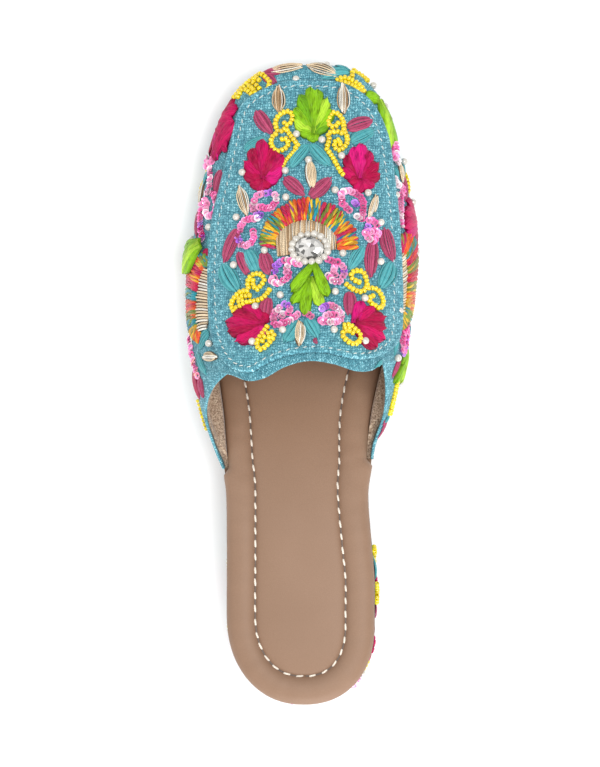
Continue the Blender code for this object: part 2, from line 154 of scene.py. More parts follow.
Row = namedtuple("Row", "at axis lateral medial swell_lateral swell_medial shoulder ridge")
LAST = [
    Row(0, -0.2, 29.3, 29.3, 0.0, 0.0, 5.0, 90.0),
    Row(34, -1.3, 29.3, 29.3, 0.0, 0.0, 5.0, 88.0),
    Row(50, -1.4, 29.2, 29.4, 0.0, 0.0, 5.0, 86.0),
    Row(66, -1.4, 29.2, 28.0, 0.0, 0.0, 5.0, 84.0),
    Row(84, -1.5, 29.6, 26.9, 0.2, 0.2, 5.0, 79.0),
    Row(96, -1.4, 31.8, 28.4, 1.0, 0.8, 6.5, 74.5),
    Row(104, -1.2, 33.0, 28.9, 2.4, 2.0, 9.5, 71.5),
    Row(116, -0.6, 35.0, 29.6, 5.0, 6.2, 13.0, 68.5),
    Row(131, 0.2, 38.4, 32.0, 6.0, 6.9, 14.5, 64.0),
    Row(148, 0.8, 42.2, 35.6, 4.4, 4.8, 13.8, 56.5),
    Row(163, 1.0, 44.1, 37.7, 3.6, 3.8, 12.6, 50.5),
    Row(183, 1.2, 43.7, 39.3, 3.5, 3.5, 11.6, 45.0),
    Row(207, 1.5, 41.7, 38.0, 3.2, 3.2, 10.6, 39.5),
    Row(228, 2.0, 41.6, 36.0, 3.1, 3.1, 10.0, 35.0),
    Row(LENGTH, 3.0, 43.0, 36.5, 3.0, 3.0, 9.5, 31.0),
]
COLUMN = {name: np.array([getattr(row, name) for row in LAST], float) for name in Row._fields}

# Top edge of the vamp across the throat, and the plug's outline anticlockwise from its front, as (x, station)
THROAT = [
    (-29.0, 131.8), (-20.0, 129.2), (-13.6, 130.4), (-6.0, 134.6), (3.5, 137.0),
    (13.5, 135.7), (22.0, 133.0), (28.0, 133.3), (32.5, 136.4),
]
PLUG_OUTLINE = [
    (3.0, 248.7), (-8.0, 248.3), (-19.5, 243.6), (-25.4, 238.0), (-28.4, 227.0), (-33.0, 205.5),
    (-36.0, 191.0), (-37.0, 173.0), (-35.8, 151.0), (-32.2, 139.8), (-26.6, 133.4), (-19.0, 131.6),
    (-13.0, 134.6), (-4.5, 138.0), (8.0, 139.2), (22.0, 136.7), (31.0, 138.7), (37.0, 145.0),
    (38.3, 160.0), (37.4, 188.0), (34.9, 212.0), (32.0, 228.0), (25.8, 240.4), (15.6, 247.2),
]
# The plug's ribs run from its outline, between two stations, to a shorter spine on its middle line.
PLUG_TAIL, PLUG_FRONT = 138.0, 240.0
PLUG_SPINE_FROM, PLUG_SPINE_TO = 152.0, 222.0

# Each wing of the vamp: where it ends, how high it is there, how its edge curves down to that height,
# and how far its top edge leans in
WING_END = {LATERAL: 93.5, MEDIAL: 97.5}
WING_TIP_HEIGHT, WING_CURVE = 0.8, 1.1
WING_LEAN = {LATERAL: 0.0, MEDIAL: 2.6}

# Height over the widest line by which the wall's normals have passed over into those of the upper
SHOULDER_BAND = 6.0

# Footbed: height over its underside by distance in from its edge, then by share of the way to the middle
FOOTBED_BORDER = [
    (0.0, 1.2), (-0.15, 2.6), (0.3, 4.0), (1.1, 4.95), (1.8, 5.6), (3.4, 6.25), (5.5, 6.6), (7.6, 6.5),
    (9.3, 6.0), (10.3, 5.3), (10.8, 4.75), (11.1, 4.3), (11.4, 4.05), (11.7, 4.3), (12.0, 4.75), (12.6, 5.2),
]
FOOTBED_MIDDLE = [(0.05, 5.5), (0.12, 5.75), (0.25, 6.0), (0.45, 6.2), (0.7, 6.3), (1.0, 6.3)]
FOOTBED_INSET, INSET_RUN = WALL + 2 * GAP, 3.0
CENTRE_LINE_FROM, CENTRE_LINE_TO = 30.0, 218.0
# The lowest point of that border is the sewn groove: its distance from the sole's edge at some stations,
# on either side. Across the middle band the sides pass over into each other.
GROOVE_IN, GROOVE_HEIGHT, MIDDLE_BAND = 11.4, 4.05, 6
GROOVE_STATIONS = (0, 78, 92, 110, 130, 165, LENGTH)
GROOVE_FROM_EDGE = {
    LATERAL: (11.4, 11.5, 12.3, 12.9, 12.6, 12.0, 8.0),
    MEDIAL: (11.4, 11.6, 12.8, 14.5, 15.1, 14.0, 8.0),
}

# Distance between threads of the cloth
WARP_PITCH, WEFT_PITCH = 0.98, 1.06

# How finely the pieces are divided
RIDGE_RIBS, THROAT_RIBS, WING_RIBS = 104, 28, 44
RIDGE_RIB_FRONT = 226.0
VAMP_ROWS, SECTION_STEPS = 56, 40
PLUG_RIBS, FOOTBED_RIBS, HEEL_RIBS = 300, 420, 90


def last(column, station):
    """A column of the last's table at any station."""
    return smooth(COLUMN["at"], COLUMN[column], station)


def half_width(side, station, swell=0.0):
    """From the axis to the sole's edge, or to the widest line of the upper at swell 1, before closing."""
    name = "lateral" if side == LATERAL else "medial"
    return last(name, station) + swell * last("swell_" + name, station)


def closing(station, heel_at, toe_at):
    """Share of the full half-width at a station: 1 in the middle, 0 at either tip."""
    back = np.clip((HEEL_CENTRE - station) / (HEEL_CENTRE - heel_at), 0, 1)
    front = np.clip((station - TOE_CENTRE) / (toe_at - TOE_CENTRE), 0, 1)
    return (1 - back**HEEL_POWER) ** (1 / HEEL_POWER) * (1 - front**TOE_POWER) ** (1 / TOE_POWER)


def sole_edge(side, station, inset, heel_at, toe_at):
    """x of an outline that lies inside the sole's edge by inset."""
    reach = (half_width(side, station) - inset) * closing(station, heel_at, toe_at)
    return last("axis", station) + side * reach


def sole_bottom(station):
    """Height of the sole's underside: level under the heel, down the waist, flat, then toe spring."""
    waist = HEEL_HEIGHT * (1 - smooth_step((station - HEEL_LENGTH) / (FLAT_FROM - HEEL_LENGTH)))
    toe = np.maximum(0.0, (station - FLAT_TO) / (LENGTH - FLAT_TO))
    return waist + TOE_SPRING * toe**2


def feather(station):
    """Height of the upper's bottom edge and of the footbed's underside."""
    return sole_bottom(station) + SOLE_THICKNESS + GAP


def spread(x, station):
    """How far out a plan point lies: 0 on the axis, 1 on the upper's widest line."""
    across = x - last("axis", station)
    reach = np.where(across < 0, half_width(LATERAL, station, 1.0), half_width(MEDIAL, station, 1.0))
    forward = np.maximum(0.0, (station - TOE_CENTRE) / (LENGTH - TOE_CENTRE))
    return ((np.abs(across) / reach) ** TOE_POWER + forward**TOE_POWER) ** (1 / TOE_POWER)


def widest_height(station):
    """Height of the upper's widest line."""
    return feather(station) + last("shoulder", station)


def upper_height(x, station):
    """Height of the upper's outer face over a plan point inside its widest line."""
    out = np.minimum(1.0, spread(x, station))
    low = widest_height(station)
    return low + (last("ridge", station) - low) * (1 - out**DOME_POWER) ** DOME_ROOT


def upper_normals(x, station):
    """Outward normals of the upper's face over plan points."""
    out = np.clip(spread(x, station), 1e-4, 0.9995)
    low, ridge = widest_height(station), last("ridge", station)
    root = (1 - out**DOME_POWER) ** DOME_ROOT
    fall = DOME_ROOT * DOME_POWER * out ** (DOME_POWER - 1) * (1 - out**DOME_POWER) ** (DOME_ROOT - 1)
    step = 0.1
    out_x = (spread(x + step, station) - spread(x - step, station)) / (2 * step)
    out_y = (spread(x, station + step) - spread(x, station - step)) / (2 * step)
    low_y = (widest_height(station + step) - widest_height(station - step)) / (2 * step)
    ridge_y = (last("ridge", station + step) - last("ridge", station - step)) / (2 * step)
    slope_x = -(ridge - low) * fall * out_x
    slope_y = low_y + (ridge_y - low_y) * root - (ridge - low) * fall * out_y
    return unit(stack(-slope_x, -slope_y, 1.0))


# ---------------------------------------------------------------- sections of the vamp


def rib_feet(side, corner_at):
    """Where ribs stand, as rows (edge x, edge station, widest x, widest station), toe tip to wing end."""
    turn = np.linspace(0, 1, SECTION_STEPS, endpoint=False) * math.pi / 2
    back = np.linspace(TOE_CENTRE, corner_at, SECTION_STEPS + 1)
    columns = []
    for toe_at, swell in ((LENGTH - SWELL_AT_TOE, 0.0), (LENGTH, 1.0)):
        station = TOE_CENTRE + (toe_at - TOE_CENTRE) * np.cos(turn) ** (2 / TOE_POWER)
        reach = half_width(side, station, swell) * np.sin(turn) ** (2 / TOE_POWER)
        station = np.concatenate([station, back])
        reach = np.concatenate([reach, half_width(side, back, swell)])
        columns += [last("axis", station) + side * reach, station]
    feet = resample(stack(*columns), RIDGE_RIBS + THROAT_RIBS)
    wing = np.linspace(corner_at, WING_END[side], WING_RIBS + 1)[1:]
    ends = [last("axis", wing) + side * half_width(side, wing, swell) for swell in (0.0, 1.0)]
    return np.concatenate([feet, stack(ends[0], wing, ends[1], wing)])


def section(foot, target):
    """One rib: up the side wall from the sole's edge to the widest line, then over to a plan point."""
    edge, widest = foot[:2], foot[2:]
    low, high = feather(edge[1]), widest_height(widest[1])
    rise = np.linspace(0, 1, SECTION_STEPS, endpoint=False)[:, None]
    wall = edge + (widest - edge) * np.sin(math.pi / 2 * rise)
    over = np.linspace(0, 1, SECTION_STEPS + 1)[:, None]
    dome = widest + (target - widest) * (1 - np.cos(math.pi / 2 * over))
    wall = np.column_stack([wall, low + (high - low) * rise[:, 0]])
    dome = np.column_stack([dome, upper_height(dome[:, 0], dome[:, 1])])
    return np.concatenate([wall, dome])


def cut_at_height(rib, height):
    """The part of a rising rib that lies below a height."""
    n = int(np.argmax(rib[:, 2] >= height))
    share = (height - rib[n - 1, 2]) / (rib[n, 2] - rib[n - 1, 2])
    return np.concatenate([rib[:n], [rib[n - 1] + (rib[n] - rib[n - 1]) * share]])


def leaned(rib, side, share):
    """A rib of the wing leaned in towards the foot, most near the wing's middle (share 0 end, 1 corner)."""
    up = (rib[:, 2] - rib[0, 2]) / (rib[-1, 2] - rib[0, 2])
    rib[:, 0] -= side * WING_LEAN[side] * math.sin(math.pi * share**1.5) ** 0.6 * up**2.2
    return rib


def vamp_side(side):
    """Ribs of one side from the toe's tip back to the wing's end, each from sole to top edge."""
    throat_x, throat_at = zip(*THROAT)
    middle, end = last("axis", max(throat_at)), throat_x[0] if side == LATERAL else throat_x[-1]
    across = np.linspace(middle, end, SECTION_STEPS + 1)
    throat = stack(across, smooth(throat_x, throat_at, across))
    corner = throat[-1]
    feet = rib_feet(side, corner[1])
    ridge = np.linspace(RIDGE_RIB_FRONT, throat[0, 1], RIDGE_RIBS + 1)
    targets = np.concatenate([stack(last("axis", ridge), ridge), resample(throat, THROAT_RIBS)[1:]])
    ribs = [section(foot, target) for foot, target in zip(feet, targets)]
    end_at = WING_END[side]
    end_height = feather(end_at) + WING_TIP_HEIGHT
    corner_height = upper_height(corner[0], corner[1])
    for foot in feet[len(targets):]:
        share = (foot[1] - end_at) / (corner[1] - end_at)
        height = end_height + (corner_height - end_height) * share**WING_CURVE
        rib = cut_at_height(section(foot, stack(last("axis", foot[1]), foot[1])), height)
        ribs.append(leaned(rib, side, share))
    return feet, np.array([resample(rib, VAMP_ROWS) for rib in ribs])


def vamp_ribs():
    """All ribs from the lateral wing round the toe to the medial wing, and where each stands."""
    feet_l, ribs_l = vamp_side(LATERAL)
    feet_m, ribs_m = vamp_side(MEDIAL)
    along = np.concatenate([-lengths_along(feet_l[:, 2:])[:0:-1], lengths_along(feet_m[:, 2:])])
    return along, np.concatenate([ribs_l[:0:-1], ribs_m])


def rib_normals(ribs):
    """Outward normals of the vamp: from the ribs on its side wall, from the upper's own slope above it."""
    grid = unit(np.cross(np.gradient(ribs, axis=1), np.gradient(ribs, axis=0)))
    x, station, height = np.moveaxis(ribs, 2, 0)
    above = smooth_step((height - widest_height(station)) / SHOULDER_BAND)[..., None]
    return unit(grid + (upper_normals(x, station) - grid) * above)


def edge_rise(ribs, normals):
    """The direction up across the vamp's edge at the top of each rib."""
    edge_ribs = WING_RIBS + THROAT_RIBS
    top = ribs[:, -1]
    along = unit(np.gradient(top, axis=0))
    for part in (slice(0, edge_ribs + 1), slice(len(ribs) - edge_ribs - 1, None)):
        run = np.gradient(top[part], axis=0)
        padded = np.concatenate([run[:1], run, run[-1:]])
        along[part] = unit(padded[:-2] + 2 * padded[1:-1] + padded[2:])
    rise = unit(np.cross(along, normals[:, -1]))
    middle = slice(edge_ribs + 1, len(ribs) - edge_ribs - 1)
    rise[middle] = unit(ribs[middle, -1] - ribs[middle, -2])
    return rise


RIB_ALONG, RIBS = vamp_ribs()
RIB_LENGTHS = np.array([lengths_along(rib)[-1] for rib in RIBS])
RIB_NORMALS = rib_normals(RIBS)
RIB_RISE = edge_rise(RIBS, RIB_NORMALS)

# ---------------------------------------------------------------- places on the shoe

# The most a rise is stretched where the upper is steep, and the step for the slope of a ground
STEEPEST, SEWING_STEP = 2.2, 0.3


def plan(rise=0.0):
    """Places on the upper by (x, station), raised straight up so that they keep their place in plan."""

    def place(x, station):
        x, station = np.asarray(x, float), np.asarray(station, float)
        step = 0.25
        height = upper_height(x, station)
        across = (upper_height(x + step, station) - upper_height(x - step, station)) / (2 * step)
        forward = (upper_height(x, station + step) - upper_height(x, station - step)) / (2 * step)
        steep = np.minimum(np.sqrt(1 + across**2 + forward**2), STEEPEST)
        return stack(x, station, height + rise * steep)

    return place


def wall(along, up):
    """Places on the vamp's outer face by (along, up)."""
    along, up = np.broadcast_arrays(np.asarray(along, float), np.asarray(up, float))
    r = np.interp(along, RIB_ALONG, np.arange(len(RIB_ALONG)))
    i = np.minimum(r.astype(int), len(RIB_ALONG) - 2)
    f = (r - i)[..., None]
    reach = RIB_LENGTHS[i] * (1 - f[..., 0]) + RIB_LENGTHS[i + 1] * f[..., 0]
    row = np.clip(up / reach, 0, 1) * VAMP_ROWS
    j = np.minimum(row.astype(int), VAMP_ROWS - 1)
    g = (row - j)[..., None]
    low = RIBS[i, j] * (1 - f) + RIBS[i + 1, j] * f
    high = RIBS[i, j + 1] * (1 - f) + RIBS[i + 1, j + 1] * f
    return low * (1 - g) + high * g


def heel_stations(half=120):
    """Stations along the heel block's outline, from the middle of its back round one side to its front."""
    turn = np.linspace(0, math.pi / 2, half)
    curved = HEEL_CENTRE - (HEEL_CENTRE - HEEL_BACK) * np.cos(turn) ** (2 / HEEL_POWER)
    return np.concatenate([curved, np.linspace(HEEL_CENTRE, HEEL_LENGTH, half)[1:]])


HEEL_STATIONS = heel_stations()
HEEL_RUN = {
    side: lengths_along(stack(sole_edge(side, HEEL_STATIONS, 0, HEEL_BACK, LENGTH), HEEL_STATIONS))
    for side in (LATERAL, MEDIAL)
}
HEEL_LOW, HEEL_HIGH = LIFT_THICKNESS + GAP, HEEL_HEIGHT - GAP


def heel(along, height):
    """Places on the heel block by (along, height over the floor), lateral side negative."""
    along, height = np.broadcast_arrays(np.asarray(along, float), np.asarray(height, float))
    lateral = along < 0
    runs = [np.interp(np.abs(along), HEEL_RUN[side], HEEL_STATIONS) for side in (LATERAL, MEDIAL)]
    station = np.where(lateral, *runs)
    share = np.clip((height - HEEL_LOW) / (HEEL_HIGH - HEEL_LOW), 0, 1)
    inset = HEEL_TAPER * (1 - share) ** 1.5
    x = np.where(lateral, *[sole_edge(side, station, inset, HEEL_BACK, LENGTH) for side in (LATERAL, MEDIAL)])
    nearness = 1 - smooth_step((station - HEEL_BACK) / (HEEL_CENTRE - HEEL_BACK))
    return stack(x, station + inset * nearness, height)


class Ground:
    """A surface to sew on: gives points and outward normals for pairs of its own coordinates."""

    def __init__(self, place, facing=1):
        self.place, self.facing = place, facing

    def at(self, a, b, lift=0.0):
        a, b, step = np.asarray(a), np.asarray(b), SEWING_STEP
        across = self.place(a + step, b) - self.place(a - step, b)
        ahead = self.place(a, b + step) - self.place(a, b - step)
        normal = unit(np.cross(across, ahead)) * self.facing
        return self.place(a, b) + normal * np.asarray(lift, float)[..., None], normal


def frame_shift():
    """From the table's x and stations to the frame's, by the low corner of the outsole's box."""
    low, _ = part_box("outsole")
    toe_at = LENGTH - SWELL_AT_TOE
    reach = sole_edge(LATERAL, np.linspace(0, toe_at, 2000), SOLE_INSET, SOLE_INSET, toe_at).min()
    return np.array([low[0] / MM - reach, low[1] / MM - SOLE_INSET, 0.0])


SHIFT = frame_shift()

# ---------------------------------------------------------------- meshes


def placed(name, data):
    """A new object in the scene."""
    made = bpy.data.objects.new(name, data)
    bpy.context.scene.collection.objects.link(made)
    return made


class Sewing:
    """A mesh being made of many small grids, with a colour and a thread direction at each point."""

    def __init__(self):
        self.points, self.tints, self.loops, self.totals, self.weaves = [], [], [], [], []
        self.count = 0

    def grid(self, points, tint, ring=False, closed=False, capped=False, weave=None):
        """Rows of points joined to their neighbours. ring: each row closes on itself. closed: the last
        row joins the first. capped: the first and last rows are filled. weave: (rows, columns, 2) in mm,
        with one more column for a ring."""
        rows, columns = points.shape[:2]
        tint = np.broadcast_to(np.asarray(tint, float), (rows, columns, 3))
        if weave is None:
            weave = np.zeros((rows, columns + 1, 2))
        i = np.arange(rows if closed else rows - 1)[:, None]
        j = np.arange(columns if ring else columns - 1)[None, :]
        below = (i + 1) % rows
        beside = (j + 1) % columns
        row, next_row = i * columns, below * columns
        quads = np.stack([row + j, row + beside, next_row + beside, next_row + j], -1)
        places = [weave[i, j], weave[i, j + 1], weave[below, j + 1], weave[below, j]]
        self.loops.append(quads.reshape(-1) + self.count)
        self.totals.append(np.full(quads.shape[0] * quads.shape[1], 4))
        self.weaves.append(np.stack(places, axis=2).reshape(-1, 2))
        if capped:
            for end, order in ((0, slice(None, None, -1)), (rows - 1, slice(None))):
                self.loops.append((np.arange(columns) + end * columns)[order] + self.count)
                self.totals.append(np.array([columns]))
                self.weaves.append(weave[end, :columns][order])
        self.points.append(points.reshape(-1, 3))
        self.tints.append(tint.reshape(-1, 3))
        self.count += rows * columns

    def piece(self, name, material, weld=None, sharp=50):
        """Makes the object, in the frame's metres."""
        mesh = bpy.data.meshes.new(name)
        points = (np.concatenate(self.points) + SHIFT) * MM
        loops, totals = np.concatenate(self.loops), np.concatenate(self.totals)
        mesh.vertices.add(len(points))
        mesh.vertices.foreach_set("co", points.ravel())
        mesh.loops.add(len(loops))
        mesh.loops.foreach_set("vertex_index", loops)
        mesh.polygons.add(len(totals))
        mesh.polygons.foreach_set("loop_start", np.concatenate([[0], np.cumsum(totals)[:-1]]))
        mesh.polygons.foreach_set("loop_total", totals)
        layer = mesh.uv_layers.new(name="weave")
        layer.data.foreach_set("uv", np.concatenate(self.weaves).ravel())
        colour = mesh.color_attributes.new("tint", "FLOAT_COLOR", "POINT")
        tints = np.concatenate(self.tints)
        colour.data.foreach_set("color", np.column_stack([tints, np.ones(len(tints))]).ravel())
        mesh.update(calc_edges=True)
        mesh.validate()
        shape = bmesh.new()
        shape.from_mesh(mesh)
        if weld:
            bmesh.ops.remove_doubles(shape, verts=shape.verts, dist=weld * MM)
        bmesh.ops.recalc_face_normals(shape, faces=shape.faces)
        shape.to_mesh(mesh)
        shape.free()
        mesh.shade_smooth()
        mesh.set_sharp_from_angle(angle=math.radians(sharp))
        mesh.materials.append(material)
        return placed(name, mesh)


def finish_piece(made, slot, *replaced):
    """Tells the frame what a piece moves with and hides the nodes it replaces. slot: not used."""
    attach(made, "root")
    if replaced:
        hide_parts(*replaced)


# ---------------------------------------------------------------- materials


def rgb(*screen):
    """A colour given as 0 to 255 on a screen, in linear light."""
    return tuple(((c / 255 + 0.055) / 1.055) ** 2.4 if c > 10 else c / 255 / 12.92 for c in screen)


class Recipe:
    """A node material under construction, with short calls for the nodes it uses."""

    def __init__(self, name, **values):
        self.material = bpy.data.materials.new(name)
        self.material.use_nodes = True
        self.tree = self.material.node_tree
        self.shader = self.tree.nodes["Principled BSDF"]
        self.set(**values)

    def feed(self, socket, value):
        """Links another node's output to a socket, or sets its value."""
        if hasattr(value, "is_output"):
            self.tree.links.new(value, socket)
        else:
            socket.default_value = value

    def set(self, **values):
        """Feeds the shader's sockets, by their names in small letters joined by underscores."""
        sockets = {socket.name.lower().replace(" ", "_"): socket for socket in self.shader.inputs}
        for name, value in values.items():
            self.feed(sockets[name], value)

    def node(self, kind, out=0, settings=None, **inputs):
        """A node's output. inputs: by the socket's name, or by i and its number."""
        made = self.tree.nodes.new(kind)
        for key, value in (settings or {}).items():
            setattr(made, key, value)
        for key, value in inputs.items():
            self.feed(made.inputs[int(key[1:]) if key[0] == "i" else key], value)
        return made.outputs[out]

    def threads(self):
        """Position in the thread's own millimetres."""
        return self.node("ShaderNodeUVMap", settings={"uv_map": "weave"})

    def tint(self):
        return self.node("ShaderNodeVertexColor", settings={"layer_name": "tint"})

    def place(self):
        """Position in the object's own metres."""
        return self.node("ShaderNodeTexCoord", out=3)

    def math(self, operation, a, b=0.0, c=0.0, kind="ShaderNodeMath"):
        return self.node(kind, settings={"operation": operation}, i0=a, i1=b, i2=c)

    def vector(self, operation, a, b=(0.0, 0.0, 0.0), c=(0.0, 0.0, 0.0)):
        return self.math(operation, a, b, c, kind="ShaderNodeVectorMath")

    def split(self, vector):
        """The outputs for the parts of a vector."""
        made = self.tree.nodes.new("ShaderNodeSeparateXYZ")
        self.feed(made.inputs[0], vector)
        return made.outputs

    def stretched(self, vector, *scale):
        return self.node("ShaderNodeMapping", Vector=vector, Scale=scale)

    def wave(self, **inputs):
        return self.node("ShaderNodeTexWave", Vector=self.threads(), **inputs)

    def noise(self, vector, scale, detail=3.0, rough=0.6):
        return self.node("ShaderNodeTexNoise", Vector=vector, Scale=scale, Detail=detail, Roughness=rough)

    def ramp(self, factor, *stops):
        """stops: where each one stands, and its grey or its colour."""
        made = self.tree.nodes.new("ShaderNodeValToRGB")
        for n, (at, colour) in enumerate(stops):
            stop = made.color_ramp.elements[n] if n < 2 else made.color_ramp.elements.new(at)
            stop.position = at
            stop.color = (*colour, 1) if hasattr(colour, "__len__") else (colour, colour, colour, 1)
        self.feed(made.inputs[0], factor)
        return made.outputs[0]

    def mix(self, factor, a, b, blend="MIX"):
        made = self.tree.nodes.new("ShaderNodeMix")
        made.data_type, made.blend_type = "RGBA", blend
        self.feed(made.inputs[0], factor)
        for socket, value in ((made.inputs[6], a), (made.inputs[7], b)):
            self.feed(socket, value if hasattr(value, "is_output") else (*value, 1))
        return made.outputs[2]

    def times(self, a, b):
        return self.mix(1.0, a, b, "MULTIPLY")

    def bump(self, height, strength, distance, under=None):
        """distance in millimetres."""
        below = {"Normal": under} if under else {}
        return self.node("ShaderNodeBump", Height=height, Strength=strength, Distance=distance * MM, **below)


def handloom_cloth():
    """Coarse turquoise plain weave: a nub at each crossing, pale or dark, with deep gaps between threads. Its
    colour is partly the yarn's own tone and partly painted light: a painted highlight on each nub and painted
    shade in the gaps.
    """
    made = Recipe("handloom_cloth", roughness=0.85, sheen_weight=0.1, sheen_roughness=0.6)
    threads = made.threads()
    drift = made.node("ShaderNodeTexNoise", out=1, Vector=threads, Scale=0.7, Detail=4.0)
    wobble = made.vector("MULTIPLY_ADD", drift, (2.2, 2.2, 0.0), threads)
    cells = made.vector("DIVIDE", wobble, (WARP_PITCH, WEFT_PITCH, 1.0))
    chance = made.node("ShaderNodeTexWhiteNoise", Vector=made.vector("FLOOR", cells))
    warp, weft = [made.math("SINE", made.math("MULTIPLY", part, math.pi)) for part in made.split(cells)[:2]]
    over = made.math("GREATER_THAN", made.math("MULTIPLY", warp, weft), 0.0)
    warp, weft = made.math("ABSOLUTE", warp), made.math("ABSOLUTE", weft)
    nubs = [
        made.math("MULTIPLY", made.math("POWER", a, 1.1), made.math("MULTIPLY_ADD", b, 0.5, 0.5))
        for a, b in ((warp, weft), (weft, warp))
    ]
    nub = made.node("ShaderNodeMix", settings={"data_type": "FLOAT"}, i0=over, i2=nubs[0], i3=nubs[1])
    fibre = made.noise(threads, 2.6, 3.0, 0.8)
    slub = made.noise(threads, 0.45, 3.0, 0.7)
    # Painted light over the yarn's own tone: each nub painted lighter at its crest and darker in the gaps
    # between threads
    bright = made.math("MULTIPLY_ADD", nub, made.math("MULTIPLY_ADD", chance, 0.5, 0.2), 0.02)
    bright = made.math("MULTIPLY_ADD", made.math("SUBTRACT", slub, 0.5), 0.7, bright)
    bright = made.math("MULTIPLY_ADD", made.math("SUBTRACT", fibre, 0.45), 1.9, bright)
    colour = made.ramp(
        bright, (0.0, rgb(28, 88, 106)), (0.2, rgb(54, 119, 135)), (0.36, rgb(80, 148, 163)),
        (0.55, rgb(103, 173, 187)), (0.8, rgb(154, 211, 221)), (1.0, rgb(200, 234, 240)),
    )
    made.set(base_color=colour, normal=made.bump(nub, 0.7, 0.3, made.bump(fibre, 0.4, 0.15)))
    return made.material


def brushed_lining():
    """Beige brushed lining: pale curls of fibre over dark specks."""
    made = Recipe("brushed_lining", roughness=0.95, sheen_weight=0.3)
    grain = made.noise(made.place(), 1400.0, 2.0, 0.8)
    patch = made.noise(made.place(), 150.0, 3.0)
    base = made.ramp(
        grain, (0.36, rgb(112, 88, 70)), (0.46, rgb(164, 138, 115)),
        (0.54, rgb(194, 168, 143)), (0.66, rgb(220, 202, 178)),
    )
    base = made.mix(made.ramp(patch, (0.4, 0.0), (0.7, 0.3)), base, rgb(150, 124, 103))
    made.set(base_color=made.times(base, made.tint()), normal=made.bump(grain, 0.8, 0.3))
    return made.material


def tan_leather():
    """Soft tan leather: fine pebbled grain and slightly darker pores, with painted light that makes it
    darkest at the heel and palest over the waist.
    """
    made = Recipe("tan_leather", specular_ior_level=0.3)
    place = made.place()
    to_edge = {"feature": "DISTANCE_TO_EDGE"}
    cells = made.node("ShaderNodeTexVoronoi", settings=to_edge, Vector=place, Scale=1500.0)
    fine = made.noise(place, 2400.0, 3.0, 0.7)
    broad = made.noise(place, 30.0, 2.0, 0.5)
    tone = made.ramp(broad, (0.35, rgb(155, 123, 100)), (0.65, rgb(160, 128, 105)))
    tone = made.mix(made.ramp(fine, (0.35, 0.3), (0.65, 0.0)), tone, rgb(142, 110, 86))
    # From 0 at the heel, 0.1 m behind the frame's origin, to 1 where the footbed goes under the vamp
    forward = made.math("MULTIPLY_ADD", made.split(place)[1], 1 / 0.12, 0.1 / 0.12)
    # Painted light: darker over the heel, which the lamps light most, and palest over the waist and towards
    # the vamp's edge, where the slope and the vamp shade it
    painted_fill_light = made.ramp(forward, (0.1, 0.73), (0.35, 0.75), (0.56, 0.85), (0.74, 1.0), (0.95, 0.97))
    pores = made.math("MULTIPLY", made.ramp(cells, (0.0, 0.7), (0.22, 0.0)), 0.2)
    made.set(
        base_color=made.mix(pores, made.times(tone, painted_fill_light), rgb(116, 88, 68)),
        roughness=made.ramp(fine, (0.3, 0.48), (0.7, 0.62)),
        normal=made.bump(cells, 0.3, 0.08, made.bump(fine, 0.3, 0.05)),
    )
    return made.material


def resin_sole():
    """Matte tan resin sheet, with fine grit, faint rub marks and darker clouds."""
    made = Recipe("resin_sole")
    place = made.place()
    grit = made.noise(place, 2200.0, 3.0, 0.7)
    cloud = made.noise(place, 60.0, 4.0, 0.6)
    rubbed = made.noise(made.stretched(place, 900.0, 60.0, 900.0), 1.0, 3.0, 0.6)
    base = made.ramp(cloud, (0.3, rgb(112, 84, 64)), (0.7, rgb(140, 109, 84)))
    base = made.mix(made.ramp(grit, (0.3, 0.35), (0.6, 0.0)), base, rgb(74, 54, 42))
    made.set(
        base_color=made.mix(made.ramp(rubbed, (0.6, 0.0), (0.8, 0.35)), base, rgb(170, 142, 116)),
        roughness=made.ramp(rubbed, (0.35, 0.7), (0.75, 0.45)),
        normal=made.bump(grit, 0.3, 0.1),
    )
    return made.material


def top_piece_rubber():
    """Dark rubber top piece with a fine pebble and dusty wear."""
    made = Recipe("top_piece_rubber", roughness=0.7)
    pebble = made.node("ShaderNodeTexVoronoi", Vector=made.place(), Scale=900.0)
    dust = made.noise(made.place(), 160.0, 4.0, 0.65)
    base = made.ramp(pebble, (0.1, rgb(52, 46, 42)), (0.6, rgb(34, 30, 28)))
    base = made.mix(made.ramp(dust, (0.5, 0.0), (0.75, 0.4)), base, rgb(104, 94, 84))
    made.set(base_color=base, normal=made.bump(pebble, 0.4, 0.15))
    return made.material


def waxed_thread():
    """Sewing thread: two plies twisted round each other, with painted shade in the twist's grooves."""
    made = Recipe("waxed_thread", roughness=0.5, sheen_weight=0.3)
    twist = made.wave(Scale=0.9, Distortion=0.6)
    # Painted shade and highlight: darker in the twist's grooves, paler on its crests
    base = made.mix(made.math("MULTIPLY", twist, 0.8), rgb(226, 214, 200), rgb(255, 252, 246))
    made.set(base_color=made.times(base, made.tint()), normal=made.bump(twist, 0.6, 0.12))
    return made.material


def with_painted_fibre_light(made, fibres, dark, body_from, body_to, light, light_share):
    """The tint with painted shade in the furrows between its fibres and a painted highlight on their crests.
    """
    tint = made.tint()
    furrows = made.ramp(fibres, (body_from, 0.0), (body_to, 1.0))
    body = made.mix(furrows, made.times(tint, dark), tint)
    return made.mix(made.ramp(fibres, (0.55, 0.0), (0.75, 1.0)), body, made.mix(light_share, tint, light))


def embroidery_silk():
    """Lustrous floss: fine fibres along each strand, glossy across them."""
    made = Recipe(
        "embroidery_silk", roughness=0.42, specular_ior_level=0.3, sheen_weight=0.08,
        sheen_roughness=0.35, anisotropic=0.4,
    )
    fibres = made.noise(made.stretched(made.threads(), 9.0, 0.5, 1.0), 1.0, 3.0, 0.65)
    # Painted shade between the fibres and a painted highlight on them
    colour = with_painted_fibre_light(made, fibres, (0.45, 0.45, 0.5), 0.3, 0.5, (1.0, 0.95, 0.97), 0.2)
    made.set(base_color=colour, normal=made.bump(fibres, 0.6, 0.14))
    return made.material


